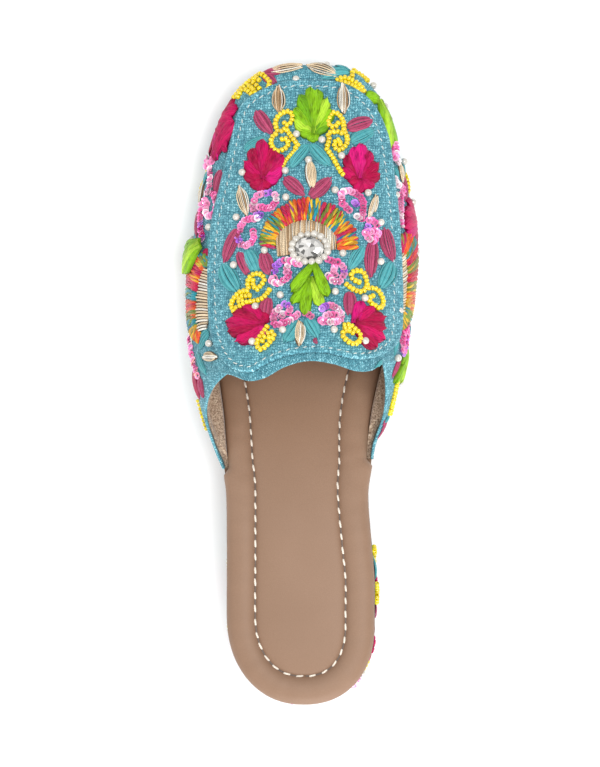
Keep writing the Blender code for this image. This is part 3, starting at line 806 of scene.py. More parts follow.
def satin_ribbon():
    """Satin ribbon gathered into petals: fine ribs along it, painted bright where it bulges and with painted
    shade between the ribs.
    """
    made = Recipe("satin_ribbon", roughness=0.45, specular_ior_level=0.16, anisotropic=0.5)
    ribs = made.noise(made.stretched(made.threads(), 3.2, 0.28, 1.0), 1.0, 2.0, 0.6)
    fine = made.wave(Scale=0.75, Distortion=1.4, Detail=1.0)
    # Painted shade between the ribs and a painted highlight on them
    colour = with_painted_fibre_light(made, ribs, (0.5, 0.42, 0.5), 0.32, 0.5, (1.0, 0.8, 0.9), 0.05)
    made.set(base_color=colour, normal=made.bump(fine, 0.5, 0.14, made.bump(ribs, 0.8, 0.3)))
    return made.material


def gold_wire():
    """Pale gold zari: fine wire wound into a springy tube, with painted shade between its turns."""
    made = Recipe("gold_wire", roughness=0.3, metallic=0.2)
    coil = made.wave(settings={"bands_direction": "DIAGONAL"}, Scale=0.85)
    # Painted shade: tinted brown where the coil dips, between its turns
    colour = made.mix(made.ramp(coil, (0.05, 0.4), (0.5, 0.0)), made.tint(), rgb(150, 116, 74))
    made.set(base_color=colour, normal=made.bump(coil, 0.8, 0.14))
    return made.material


def glass_bead():
    """Opaque glass seed bead, slightly cloudy under a glossy skin."""
    made = Recipe("glass_bead", roughness=0.2, coat_weight=0.6, coat_roughness=0.08)
    cloud = made.noise(made.place(), 700.0, 2.0)
    tint = made.tint()
    deep = made.times(tint, (0.86, 0.74, 0.6))
    made.set(base_color=made.mix(made.ramp(cloud, (0.35, 0.0), (0.65, 1.0)), deep, tint))
    return made.material


def pearl_sequin():
    """Pearlescent sequin: glossy, with a sheen painted in patches, paler or a little cooler, that shifts a
    little across its facets.
    """
    made = Recipe(
        "pearl_sequin", roughness=0.25, coat_weight=0.8, coat_roughness=0.05, coat_ior=1.7, metallic=0.15,
    )
    patch = made.noise(made.place(), 900.0, 2.0)
    tint = made.tint()
    # Painted sheen: patches mixed towards a pale pink-white and, elsewhere, a little towards violet
    pale = made.mix(0.25, tint, rgb(255, 236, 246))
    painted_cool_sheen = made.mix(0.08, tint, rgb(200, 150, 235))
    body = made.mix(made.ramp(patch, (0.35, 1.0), (0.5, 0.0)), tint, painted_cool_sheen)
    made.set(base_color=made.mix(made.ramp(patch, (0.5, 0.0), (0.7, 0.6)), body, pale))
    return made.material


def pearl_lustre():
    """Ivory pearl: a cloudy body under a clear skin."""
    made = Recipe("pearl_lustre", roughness=0.3, coat_weight=1.0, coat_roughness=0.06, coat_ior=1.9)
    cloud = made.noise(made.place(), 500.0, 2.0)
    made.set(base_color=made.ramp(cloud, (0.3, rgb(178, 173, 163)), (0.7, rgb(210, 205, 195))))
    return made.material


def cut_stone():
    """Foil-backed cut stone: a painted reflection on each facet, a little brighter or darker, under a clear
    glossy skin.
    """
    made = Recipe("cut_stone", metallic=0.3, coat_weight=0.25, coat_roughness=0.1)
    scratch = made.noise(made.place(), 1800.0, 2.0)
    # The facets' painted reflections come in through the tint
    made.set(base_color=made.tint(), roughness=made.ramp(scratch, (0.4, 0.12), (0.7, 0.3)))
    return made.material


CLOTH, LINING, LEATHER = handloom_cloth(), brushed_lining(), tan_leather()
SOLE, RUBBER, THREAD = resin_sole(), top_piece_rubber(), waxed_thread()
SILK, RIBBON, ZARI = embroidery_silk(), satin_ribbon(), gold_wire()
BEAD_GLASS, SEQUIN_FOIL, PEARL_SKIN, STONE = glass_bead(), pearl_sequin(), pearl_lustre(), cut_stone()
PLAIN = (1.0, 1.0, 1.0)


# ---------------------------------------------------------------- cloth, lining and footbed

# Distances of the cloth's and the lining's two faces from the vamp's outer face, and of the lining's inner
# face at its foot, which stands straight beside the footbed up to some height and then eases back
CLOTH_FACES, LINING_FACES, LINING_FOOT = (0.15, -0.95), (-1.0, -2.2), -2.55
FOOTBED_SIDE, FOOTBED_EASE = 4.0, 7.0
# How far the cloth is turned in over the vamp's edge, by place along the vamp
TURN_ALONG = (-176, -160, -148, 134, 144, 152, 162)
TURN_IN = (1.6, 1.4, 0.9, 0.9, 4.0, 7.0, 7.0)
# Painted shade on the rounded top edge: how dark it is
RIM_PAINTED_SHADE = 0.6


def shortened(ribs, every, drop):
    """Ribs of the vamp, each ending a drop below its edge but keeping part of its length."""
    lean = np.abs(dots(unit(RIBS[:, -1] - RIBS[:, -3]), RIB_RISE))[:, 0]
    cut = np.maximum(RIB_LENGTHS - drop / np.maximum(lean, 0.12), 0.4 * RIB_LENGTHS)[::every]
    rows = np.linspace(0, 1, ribs.shape[1])
    return np.array([at_lengths(rib, lengths_along(rib), rows * length) for rib, length in zip(ribs, cut)])


def wall_shell(faces, drop=None, every=1, foot=None):
    """A closed layer along the vamp between two distances from its outer face, rounded at its top edge.
    drop: how far below the vamp's edge it ends. every: how many rows and ribs it steps over.
    foot: where its inner face reaches at the bottom, beside the footbed."""
    (outer, inner), sewing = faces, Sewing()
    ribs, normals = RIBS[::every, ::every], RIB_NORMALS[::every, ::every].copy()
    if drop is not None:
        ribs = shortened(ribs, every, drop)
        normals = rib_normals(ribs)
    normals[:, 0] = unit(normals[:, 0] * (1, 1, 0))
    out, rise = normals[:, -1], RIB_RISE[::every]
    middle, radius = ribs[:, -1] + out * (outer + inner) / 2, (outer - inner) / 2
    turn = np.linspace(0, math.pi, 7)[1:-1]
    rim = [middle + radius * (out * math.cos(a) + rise * math.sin(a)) for a in turn]
    inside = ribs + normals * inner
    if foot:
        low = (ribs + normals * foot)[:, :1, :2]
        near = 1 - smooth_step((ribs[..., 2:] - ribs[:, :1, 2:] - FOOTBED_SIDE) / FOOTBED_EASE)
        inside[..., :2] += (low - inside[..., :2]) * near
    loops = np.concatenate([ribs + normals * outer, np.stack(rim, axis=1), inside[:, ::-1]], axis=1)
    steps = np.linalg.norm(np.diff(loops, axis=1), axis=2)
    around = np.concatenate([np.zeros((len(loops), 1)), np.cumsum(steps, axis=1)], axis=1)
    around = np.concatenate([around, around[:, -1:]], axis=1)
    # Painted shade: the rounded top edge is tinted darker, which only the lining's material shows
    tints = np.ones(loops.shape)
    tints[:, ribs.shape[1]:ribs.shape[1] + len(rim)] = RIM_PAINTED_SHADE
    sewing.grid(loops, tints, ring=True, capped=True, weave=stack(RIB_ALONG[::every, None], around))
    return sewing


def make_vamp():
    """The vamp's cloth and its lining."""
    finish_piece(wall_shell(CLOTH_FACES).piece("vamp_cloth", CLOTH), "upper_cloth", "upper")
    turned_in = np.interp(RIB_ALONG, TURN_ALONG, TURN_IN)
    lining = wall_shell(LINING_FACES, drop=turned_in, every=2, foot=LINING_FOOT)
    finish_piece(lining.piece("vamp_lining", LINING), "lining")


# The plug's rolled edge and its sewn channel, as (distance in from its outline, height over the vamp)
PLUG_PROFILE = [
    (0.5, 0.32), (0.12, 0.5), (0.0, 0.9), (0.05, 1.35), (0.25, 1.8), (0.6, 2.12), (1.05, 2.24), (1.5, 2.2),
    (1.9, 2.02), (2.2, 1.86), (2.45, 1.8), (2.7, 1.86), (3.0, 2.0), (3.6, 2.12), (4.4, 2.15),
]
PLUG_UNDERSIDE = 0.3
STITCH_IN, STITCH_HEIGHT = 2.45, 1.8


def with_inward(loop, turn):
    """A closed loop and the inward direction at each point. turn: 1 if it runs anticlockwise, else -1."""
    run = np.roll(loop, -1, axis=0) - np.roll(loop, 1, axis=0)
    return loop, turn * unit(np.stack([-run[:, 1], run[:, 0]], axis=-1))


def towards_middle(rows, middle, shares):
    """Rows of points that go on from the last of the rows to a middle line."""
    return rows + [rows[-1] + (middle - rows[-1]) * share for share in shares]


def plug_loop(count):
    """The plug's outline in plan, with the inward direction at each point."""
    return with_inward(resample(curve_through(PLUG_OUTLINE, closed=True, fine=40), count)[:-1], 1)


def plug_spine(loop):
    """Where each rib of the plug ends on its middle line."""
    across = np.roll(loop[::-1], 1, axis=0)
    share = np.clip(((loop[:, 1] + across[:, 1]) / 2 - PLUG_TAIL) / (PLUG_FRONT - PLUG_TAIL), 0, 1)
    station = PLUG_SPINE_FROM + (PLUG_SPINE_TO - PLUG_SPINE_FROM) * share
    return stack(last("axis", station), station)


def arc_across(x, station):
    """Distance over the upper's face from its axis to a plan point."""
    axis = last("axis", station)
    share = np.linspace(0, 1, 25)
    xs = axis[..., None] + (x - axis)[..., None] * share
    heights = upper_height(xs, np.broadcast_to(station[..., None], xs.shape))
    return np.sum(np.hypot(np.diff(xs, axis=-1), np.diff(heights, axis=-1)), axis=-1) * np.sign(x - axis)


def make_plug():
    """The panel over the vamp: a rolled edge, a sewn channel inside it and a slightly uneven middle."""
    loop, inward = plug_loop(PLUG_RIBS)
    rows = [loop + inward * distance for distance, _ in PLUG_PROFILE]
    shares = np.linspace(0, 1, 26)[1:] ** 1.2
    x, station = np.moveaxis(np.stack(towards_middle(rows, plug_spine(loop), shares), axis=1), 2, 0)
    lifts = np.array([lift for _, lift in PLUG_PROFILE] + [PLUG_RISE] * len(shares))
    lifts = lifts + 0.07 * np.sin(x * 0.55 + np.sin(station * 0.21)) * np.sin(station * 0.47)
    ground = Ground(plan())
    points, _ = ground.at(x, station, lifts)
    under, _ = ground.at(x[:, ::-1], station[:, ::-1], PLUG_UNDERSIDE)
    weave = stack(arc_across(x, station), station)
    weave = np.concatenate([weave, weave[:, -1:]], axis=1)
    sewing = Sewing()
    ribs = np.concatenate([under[:, :-1], points], axis=1)
    weaves = np.concatenate([weave[:, ::-1][:, :points.shape[1] - 1], weave], axis=1)
    sewing.grid(ribs, PLAIN, closed=True, weave=weaves)
    finish_piece(sewing.piece("plug_cloth", CLOTH, weld=0.02), "plug_cloth", "plug")


def footbed_inset(side, station):
    """Footbed edge in from the sole's edge: flush at the heel, inside the vamp's wall in front."""
    return FOOTBED_INSET * smooth_step((station - WING_END[side] + INSET_RUN) / INSET_RUN)


def footbed_loop(count):
    """The outline the footbed is measured from, in plan, with the inward direction at each point."""
    toe_at = LENGTH - SWELL_AT_TOE
    turn = np.linspace(0, math.pi / 2, 60)
    back = HEEL_CENTRE - HEEL_CENTRE * np.cos(turn) ** (2 / HEEL_POWER)
    front = TOE_CENTRE + (toe_at - TOE_CENTRE) * np.cos(turn[::-1]) ** (2 / TOE_POWER)
    stations = np.concatenate([back, np.linspace(HEEL_CENTRE, TOE_CENTRE, 120)[1:-1], front])
    sides = [stack(sole_edge(side, stations, 0.0, 0.0, toe_at), stations) for side in (LATERAL, MEDIAL)]
    loop = resample(np.concatenate([sides[0], sides[1][::-1]]), count)[:-1]
    return with_inward(loop, -1)


def by_side(of_side, x, station):
    """A value of each side of the shoe, passing over from one to the other at the middle."""
    share = smooth_step(0.5 - (x - last("axis", station)) / MIDDLE_BAND)
    return of_side(MEDIAL, station) * (1 - share) + of_side(LATERAL, station) * share


def groove_distance(side, station):
    """The sewn groove's distance in from the sole's edge."""
    return smooth(GROOVE_STATIONS, GROOVE_FROM_EDGE[side], station)


def make_footbed():
    """The padded footbed, and the stitches in its groove."""
    loop, inward = footbed_loop(FOOTBED_RIBS)
    x, station = loop.T
    inset = by_side(footbed_inset, x, station)[:, None]
    groove = by_side(groove_distance, x, station)[:, None]
    width = (groove - inset) / GROOVE_IN
    centre_at = np.clip(station, CENTRE_LINE_FROM, CENTRE_LINE_TO)
    centre = stack(last("axis", centre_at), centre_at)
    rows = [loop + inward * (inset + distance * width) for distance, _ in FOOTBED_BORDER]
    places = np.stack(towards_middle(rows, centre, [share for share, _ in FOOTBED_MIDDLE]), axis=1)
    heights = np.array([height for _, height in FOOTBED_BORDER + FOOTBED_MIDDLE])
    ribs = np.arange(FOOTBED_RIBS)[:, None]
    puff = 0.1 * np.sin(ribs * 0.9) * np.sin(ribs * 0.23)
    rolled = [0.4 < distance < 10 for distance, _ in FOOTBED_BORDER] + [False] * len(FOOTBED_MIDDLE)
    tops = feather(places[..., 1]) + heights + puff * np.array(rolled)
    top = np.concatenate([places, tops[..., None]], axis=2)
    bottom = np.concatenate([places, feather(places[..., 1])[..., None]], axis=2)
    sewing = Sewing()
    flat = np.concatenate([places[:, ::-1], places, places[:, -1:]], axis=1)
    sewing.grid(np.concatenate([bottom[:, ::-1], top], axis=1), PLAIN, closed=True, weave=flat)
    footbed = sewing.piece("footbed_leather", LEATHER, weld=0.02, sharp=70)
    finish_piece(footbed, "footbed_leather", "footbed")
    line = loop + inward * groove
    thread = Sewing()
    ground = Ground(footbed_top)
    running_stitches(
        thread, ground, line, THREAD_WHITE,
        pitch=5.15, length=2.9, rise=0.42, radius=0.4, dip=0.6, slant=0.2,
    )
    under, normals = ground.at(line[:, 0], line[:, 1], 0.05)
    # A dark line along the bottom of the groove, under the stitches
    tube(thread, under, normals, 0.34, GROOVE_LINE_DARK)
    finish_piece(thread.piece("footbed_stitches", THREAD), "stitch_thread")


def footbed_top(x, station):
    """The bottom of the footbed's groove."""
    return stack(x, station, feather(np.asarray(station, float)) + GROOVE_HEIGHT)


# ---------------------------------------------------------------- heel cover and sewing


def make_heel_cover():
    """Cloth over the heel block, and its straight front."""
    along = np.concatenate([
        np.linspace(-HEEL_RUN[LATERAL][-1], 0, HEEL_RIBS, endpoint=False),
        np.linspace(0, HEEL_RUN[MEDIAL][-1], HEEL_RIBS + 1),
    ])
    levels = np.linspace(HEEL_LOW, HEEL_HIGH, 16)
    sides = heel(along[None, :], levels[:, None])
    share = np.linspace(0, 1, 14)[1:-1, None]
    fronts = np.stack([row[-1] + (row[0] - row[-1]) * share for row in sides])
    rings = np.concatenate([sides, fronts], axis=1)
    across = lengths_along(np.concatenate([sides[0, -1:], fronts[0], sides[0, :1]]))
    reached = np.concatenate([along, along[-1] + across[1:]])
    sewing = Sewing()
    sewing.grid(rings, PLAIN, ring=True, capped=True, weave=stack(reached[None, :], levels[:, None]))
    finish_piece(sewing.piece("heel_cloth", CLOTH), "heel_cloth", "heel")


# Silk petals, ribbon loops and cords of silk: how many strands, steps along and sides, how high, how twisted
PETAL_STRANDS, PETAL_STEPS, PETAL_HEIGHT = 11, 13, 0.9
LOBE_STEPS, LOBE_SIDES = 16, 16
CORD_STEPS, CORD_TWIST = 13, 0.95

# Profiles of a seed bead, a sequin and a pearl, as (radius, distance along the axis)
BEAD = np.array([(0.36, -0.55), (0.84, -0.72), (1.13, -0.3), (1.13, 0.3), (0.84, 0.72), (0.36, 0.55)])
SEQUIN = np.array([
    (0.4, 0.0), (0.88, 0.05), (1.24, 0.22), (1.46, 0.42), (1.24, 0.32), (0.88, 0.15), (0.4, 0.1),
])
PEARL_TURN = np.linspace(0.16, math.pi - 0.16, 9)
PEARL = 1.48 * np.stack([np.sin(PEARL_TURN), -np.cos(PEARL_TURN)], axis=1)
BEAD_PITCH, SEQUIN_PITCH = 1.56, 1.22
# Painted shade and a painted highlight round a sequin's profile, darker towards its hole and lightest on its
# rim; how far it is off the cloth, how far it turns upwards, and how far it strays from its line
SEQUIN_PAINTED_LIGHT = np.array([0.55, 0.82, 1.0, 1.8, 1.25, 0.9, 0.55])[:, None]
SEQUIN_LIFT, SEQUIN_UPWARD, SEQUIN_WANDER = 0.4, np.array([0.0, 0.0, 0.8]), 0.12

# A cut stone's rings of corners, as (radius, height), and how far it leans at most
STONE_RINGS = ((0.7, 0.0), (1.0, 0.22), (1.0, 0.3), (0.78, 0.46), (0.42, 0.56))
STONE_SIDES, STONE_LEAN = 14, 0.2
ROSETTE_PEARLS, ROSETTE_STONES = 16, 9


def tube(sewing, points, normals, radius, tint, sides=8, flat=1.0):
    """A closed strand along a path. radius is one for all points or one for each."""
    radius = np.broadcast_to(np.asarray(radius, float), (len(points),))[:, None, None]
    run = unit(np.gradient(points, axis=0))
    side = unit(np.cross(run, normals))[:, None]
    up = np.cross(side[:, 0], run)[:, None]
    turn = np.linspace(0, 2 * math.pi, sides + 1) - math.pi / 2
    around = turn[None, :-1, None]
    rings = points[:, None] + radius * (side * np.cos(around) + up * np.sin(around) * flat)
    weave = stack(turn[None, :] * float(radius.mean()), lengths_along(points)[:, None])
    sewing.grid(rings, tint, ring=True, capped=True, weave=weave)


def lathe(sewing, centre, axis, up, profile, tint, around=12):
    """A ring of revolution: profile is a closed loop of (radius, distance along the axis)."""
    side = np.cross(axis, up)
    turn = np.linspace(0, 2 * math.pi, around, endpoint=False)[:, None]
    spoke = side * np.cos(turn) + up * np.sin(turn)
    points = centre + spoke[:, None] * profile[None, :, :1] + axis * profile[None, :, 1:]
    sewing.grid(points, tint, ring=True, closed=True)


def shade(tint, low=0.86, high=1.1):
    """A thread colour, a little darker or lighter each time."""
    scale = draw.uniform(low, high)
    return tuple(min(1.0, c * scale) for c in tint)


def leaf_frame(base, tip):
    """The base of a leaf, the way to its tip and the direction across it."""
    axis = np.subtract(tip, base)
    return np.array(base, float), axis, np.array([-axis[1], axis[0]]) / np.linalg.norm(axis)


def petal(sewing, ground, base, tip, width, tints, bend):
    """A leaf of padded satin stitch: bundles of silk side by side, highest in the middle."""
    base, axis, side = leaf_frame(base, tip)
    for k in range(PETAL_STRANDS):
        across = (k + 0.5) / PETAL_STRANDS * 2 - 1
        start, end = 0.06 * across**2 + 0.09 * draw.random(), 1 - 0.08 * across**2 - 0.15 * draw.random()
        t = np.linspace(start, end, PETAL_STEPS)
        shape = np.maximum(np.sin(math.pi * t**0.85), 0.03) ** 0.62
        across += draw.uniform(-0.07, 0.07)
        sway = across * width / 2 * shape + bend * np.sin(math.pi * t)
        places = base + axis * t[:, None] + side * sway[:, None]
        rise = PETAL_HEIGHT * math.sqrt(max(0.1, 1 - 0.7 * across**2)) + draw.uniform(-0.08, 0.08)
        points, normals = ground.at(places[:, 0], places[:, 1], rise * shape)
        thick = width / PETAL_STRANDS * 0.62 * (0.35 + 0.65 * shape)
        # Painted shade: the outer strands, on the petal's sloping sides, are darker
        tint = shade(tints[k % len(tints)], 0.86 - 0.16 * across**2, 1.1 - 0.16 * across**2)
        tube(sewing, points, normals, thick, tint, sides=6, flat=0.9)


def ribbon_lobe(sewing, ground, base, tip, width, tint, height, lift, bend, neck):
    """One gathered loop of ribbon: pleated at its base, full and rounded at its tip.
    neck: share of its width that it has at its base."""
    base, axis, side = leaf_frame(base, tip)
    length = float(np.linalg.norm(axis))
    t = np.linspace(0, 1, LOBE_STEPS)[:, None]
    turn = np.linspace(0, 2 * math.pi, LOBE_SIDES + 1)[None, :] - math.pi / 2
    round_from = max(0.45, 1 - width / 2 / length)
    tail = np.clip((t - round_from) / (1 - round_from), 0, 1)
    body = width / 2 * (neck + (1 - neck) * smooth_step(t / 0.65)) * np.sqrt(np.maximum(1 - tail**2, 0.01))
    across, above = np.cos(turn), np.sin(turn)
    phase, folds = draw.uniform(0, 6), draw.uniform(2.2, 3.4)
    pleat = 0.2 * np.cos(folds * math.pi * across + phase) * (1.1 - 0.6 * t)
    crown = height * (0.55 + 0.45 * smooth_step(t / 0.45)) * np.sqrt(np.maximum(1 - tail**3 * 0.75, 0))
    rise = lift + np.where(above > 0, above**0.55 * (crown + pleat), -0.25 + 0 * t)
    sway = across * body + bend * np.sin(math.pi * t)
    reach = t * (1 + 0.06 * np.cos(4.5 * across + phase) * t)
    places = base + axis * reach[..., None] + side * sway[..., None]
    points, _ = ground.at(places[..., 0], places[..., 1], rise)
    # Painted light and shade: each lobe darker down its sides and towards its base, with painted highlight
    # streaks along it
    edge = 0.42 + 0.58 * smooth_step((above - 0.12) / 0.62)
    painted_light_and_shade = (0.7 + 0.3 * smooth_step(t / 0.4)) * edge * (1 + 0.14 * np.cos(3.2 * across + phase))
    tints = np.array(tint) * painted_light_and_shade[..., None]
    weave = stack(across * width / 2 + phase, t * length)
    sewing.grid(points[:, :-1], tints[:, :-1], ring=True, capped=True, weave=weave)


def ribbon_flower(sewing, ground, flower):
    """Ribbon loops fanned out from one point, the middle ones over the outer ones."""
    middle = (len(flower.tips) - 1) / 2
    order = sorted(range(len(flower.tips)), key=lambda k: -abs(k - middle))
    for layer, k in enumerate(order):
        share = layer / len(order)
        tint = flower.tints[k % len(flower.tints)]
        ribbon_lobe(
            sewing, ground, flower.base, flower.tips[k], flower.width * draw.uniform(0.94, 1.08),
            shade(tint, 0.92, 1.06), height=1.35 + 0.3 * share, lift=flower.lift + 0.35 * share,
            bend=draw.uniform(-0.5, 0.5), neck=flower.neck,
        )


def jitter(most):
    """A small random vector."""
    return np.array([draw.uniform(-most, most) for _ in range(3)])


def even_places(ground, corners, spacing):
    """Points, normals and directions at even distances along a curve drawn on a ground."""
    places = curve_through(corners)
    points, _ = ground.at(places[:, 0], places[:, 1])
    reached = lengths_along(points)
    goals = np.linspace(0, reached[-1], max(2, round(reached[-1] / spacing) + 1))
    spots = at_lengths(places, reached, goals)
    points, normals = ground.at(spots[:, 0], spots[:, 1])
    ahead = at_lengths(places, reached, np.minimum(goals + 0.2, reached[-1]))
    behind = at_lengths(places, reached, np.maximum(goals - 0.2, 0))
    run = ground.at(ahead[:, 0], ahead[:, 1])[0] - ground.at(behind[:, 0], behind[:, 1])[0]
    run = unit(run - normals * dots(run, normals))
    return points, normals, run


def bead_chain(sewing, ground, corners, tint, size=1.0):
    """Seed beads threaded end to end along a curve."""
    for point, normal, axis in zip(*even_places(ground, corners, BEAD_PITCH * size)):
        scale = size * draw.uniform(0.93, 1.05)
        lean = unit(axis + jitter(0.12))
        up = unit(normal - lean * np.dot(normal, lean))
        lathe(sewing, point + normal * 0.8 * size, lean, up, BEAD * scale, shade(tint, 0.88, 1.05))


def sequin(sewing, point, normal, heading, tint, tilt):
    """A cup sequin, tipped back from the one before it and, on a wall, a little upwards."""
    facing = unit(normal + SEQUIN_UPWARD)
    axis = unit(facing + heading * tilt + jitter(0.12))
    up = unit(heading - axis * np.dot(heading, axis))
    raised = SEQUIN_LIFT + 0.8 * math.sin(math.atan(tilt)) + 2.0 * (1 - float(np.dot(facing, normal)))
    # Painted light: each sequin darker towards its hole and with a painted highlight on its rim
    tints = np.minimum(np.array(tint) * SEQUIN_PAINTED_LIGHT, 1.0)
    lathe(sewing, point + normal * raised, axis, up, SEQUIN * draw.uniform(0.94, 1.05), tints, around=13)


def sequin_chain(sewing, ground, corners, tints):
    """Sequins sewn like scales along a curve, a few of them lying flat."""
    for n, (point, normal, axis) in enumerate(zip(*even_places(ground, corners, SEQUIN_PITCH))):
        side = np.cross(normal, axis) * SEQUIN_WANDER * (1 if n % 2 else -1)
        tilt = 0.12 if draw.random() < 0.12 else draw.uniform(0.5, 0.8)
        tint = shade(draw.choice(tints), 0.8, 1.08)
        sequin(sewing, point + side, normal, -axis, tint, tilt)


def pearls(sewing, ground, spots, size=1.0):
    """Round pearls at some places, each turned its own way."""
    for a, b in spots:
        point, normal = ground.at(np.array([a]), np.array([b]))
        axis = unit(np.cross(normal[0], [draw.uniform(-1, 1), draw.uniform(-1, 1), 0.3]))
        lathe(sewing, point[0] + normal[0] * 1.2 * size, axis, normal[0], PEARL * size, PLAIN, around=14)


def wire(sewing, ground, corners, tint, radius=0.3, lift=0.4, arch=0.5):
    """A length of gold wire laid along a curve, arched a little off the cloth."""
    places = curve_through(corners, fine=6)
    share = np.linspace(0, 1, len(places))
    points, normals = ground.at(places[:, 0], places[:, 1], lift + arch * np.sin(math.pi * share))
    tube(sewing, points, normals, radius, shade(tint, 0.68, 1.12), sides=6)


def zari_leaf(sewing, ground, base, tip, width, wires, outline):
    """A leaf in gold wire: bowed wires over darker ones laid as painted shade in the gaps, with a pale pair
    as its outline if wanted.
    """
    base, axis, side = leaf_frame(base, tip)
    spread_out, thick, golds = (0.8, 0.22, GOLDS) if outline else (1.0, 0.26, PALE_GOLDS)
    for k in range(wires * 2):
        bow = ((k + 0.5) / wires - 1) * width / 2 * spread_out
        start = base + axis * draw.uniform(-0.04, 0.12) + side * (bow * 0.4 + draw.uniform(-0.2, 0.2))
        end = base + axis * draw.uniform(0.86, 1.06) + side * (bow * 0.35 + draw.uniform(-0.2, 0.2))
        run = [start, base + axis * 0.3 + side * bow * 0.95, base + axis * 0.66 + side * bow * 0.95, end]
        if k % 2:
            lift = 0.6 + 0.3 * (1 - 2 * abs(bow) / width)
            wire(sewing, ground, run, draw.choice(golds), radius=thick, lift=lift)
        else:
            # A darker wire under the gold ones: painted shade in the gaps between them
            wire(sewing, ground, run, PAINTED_GAP_SHADE, lift=0.2, arch=0.2)
    for bow in (-width / 2, width / 2) if outline else ():
        run = [base, base + axis * 0.3 + side * bow, base + axis * 0.7 + side * bow * 0.9, base + axis]
        wire(sewing, ground, run, draw.choice(GOLDS), radius=0.26)


def stone(sewing, point, normal, size):
    """A cut stone: table, crown, girdle and foot, in facets that each carry a painted reflection, brighter or
    darker.
    """
    lean = unit(normal + jitter(STONE_LEAN))
    side = unit(np.cross(lean, [0.1, 1.0, 0.2]))
    front = np.cross(lean, side)
    stretch = draw.uniform(0.7, 0.85)
    rings = []
    for level, (radius, height) in enumerate(STONE_RINGS):
        angles = (np.arange(STONE_SIDES + 1) + level % 2 / 2) * 2 * math.pi / STONE_SIDES
        rim = side * np.cos(angles)[:, None] + front * np.sin(angles)[:, None] * stretch
        rings.append(point + (rim * radius + lean * height) * size)
    for low, high in zip(rings, rings[1:]):
        for k in range(STONE_SIDES):
            facet = np.array([[low[k], low[k + 1]], [high[k], high[k + 1]]])
            sewing.grid(facet, painted_facet_reflection(0.3, 0.8))
    middle = rings[-1][:STONE_SIDES].mean(axis=0)
    for k in range(0, STONE_SIDES, 2):
        facet = np.array([[middle, rings[-1][k]], [rings[-1][k + 2], rings[-1][k + 1]]])
        sewing.grid(facet, painted_facet_reflection(0.4, 0.85))


def painted_facet_reflection(low, high):
    """The grey of one facet's painted reflection: most are bright, some are dark."""
    bright = draw.uniform(low, high) if draw.random() < 0.75 else draw.uniform(0.06, 0.2)
    return (bright, bright * 0.98, bright * 0.94)


def running_stitches(sewing, ground, loop, tint, pitch, length, rise, radius, dip, slant):
    """Stitches at even distances along a closed loop. dip: how far each one goes down at either end.
    slant: how far each one strays to either side of the loop."""
    loop = np.concatenate([loop, loop[:1]])
    points, _ = ground.at(loop[:, 0], loop[:, 1])
    reached = lengths_along(points)
    count = round(reached[-1] / pitch)
    share = np.linspace(0, 1, 9)
    for k in range(count):
        start = reached[-1] * k / count + draw.uniform(-0.15, 0.15)
        goals = np.clip(start + length * draw.uniform(0.85, 1.08) * share, 0, reached[-1])
        spots = at_lengths(loop, reached, goals)
        run = spots[-1] - spots[0]
        sideways = np.array([-run[1], run[0]]) / max(float(np.linalg.norm(run)), 1e-6)
        spots = spots + sideways * (slant * (2 * share - 1) * draw.uniform(0.5, 1.2))[:, None]
        lift = rise - dip * (1 - np.sin(math.pi * share) ** 0.35)
        points_k, normals = ground.at(spots[:, 0], spots[:, 1], lift)
        tube(sewing, points_k, normals, radius, shade(tint, 0.9, 1.0), flat=0.8)


# ---------------------------------------------------------------- colours of the embroidery

MAGENTA, CRIMSON, HOT_PINK = rgb(190, 2, 84), rgb(170, 0, 64), rgb(208, 14, 114)
# The yellow-green is lime painted lighter, a painted highlight on some of its lobes
LIME, LEAF, LIME_PAINTED_HIGHLIGHT = rgb(132, 188, 20), rgb(106, 166, 18), rgb(172, 216, 54)
MAUVE, ROSE, PLUM = rgb(170, 54, 94), rgb(184, 70, 110), rgb(142, 40, 76)
TURQUOISE, DEEP_TURQUOISE = rgb(84, 172, 177), rgb(60, 151, 158)
ORANGE, DEEP_ORANGE, GOLDEN = rgb(232, 98, 30), rgb(218, 62, 26), rgb(230, 166, 26)
GREEN, TEAL, PURPLE, BLUE = rgb(120, 156, 48), rgb(14, 150, 164), rgb(150, 60, 120), rgb(36, 120, 176)
RED, OLIVE, YELLOW = rgb(208, 24, 74), rgb(140, 136, 56), rgb(236, 196, 34)
SEED_YELLOW = rgb(238, 216, 6)
PINK, PALE_PINK, SHELL = rgb(248, 110, 174), rgb(252, 156, 196), rgb(255, 228, 234)
VIOLET, PEACH = rgb(180, 110, 226), rgb(250, 150, 120)
PALE_GOLD, DEEP_GOLD = rgb(246, 222, 186), rgb(208, 170, 126)
# The darker wire colour laid under gold wires is painted shade in the gaps between them
WHITE_GOLD, PAINTED_GAP_SHADE = rgb(255, 250, 236), rgb(112, 84, 58)
GOLDS = (WHITE_GOLD, PALE_GOLD, PALE_GOLD, DEEP_GOLD, DEEP_GOLD)
PALE_GOLDS = (WHITE_GOLD, PALE_GOLD, PALE_GOLD)
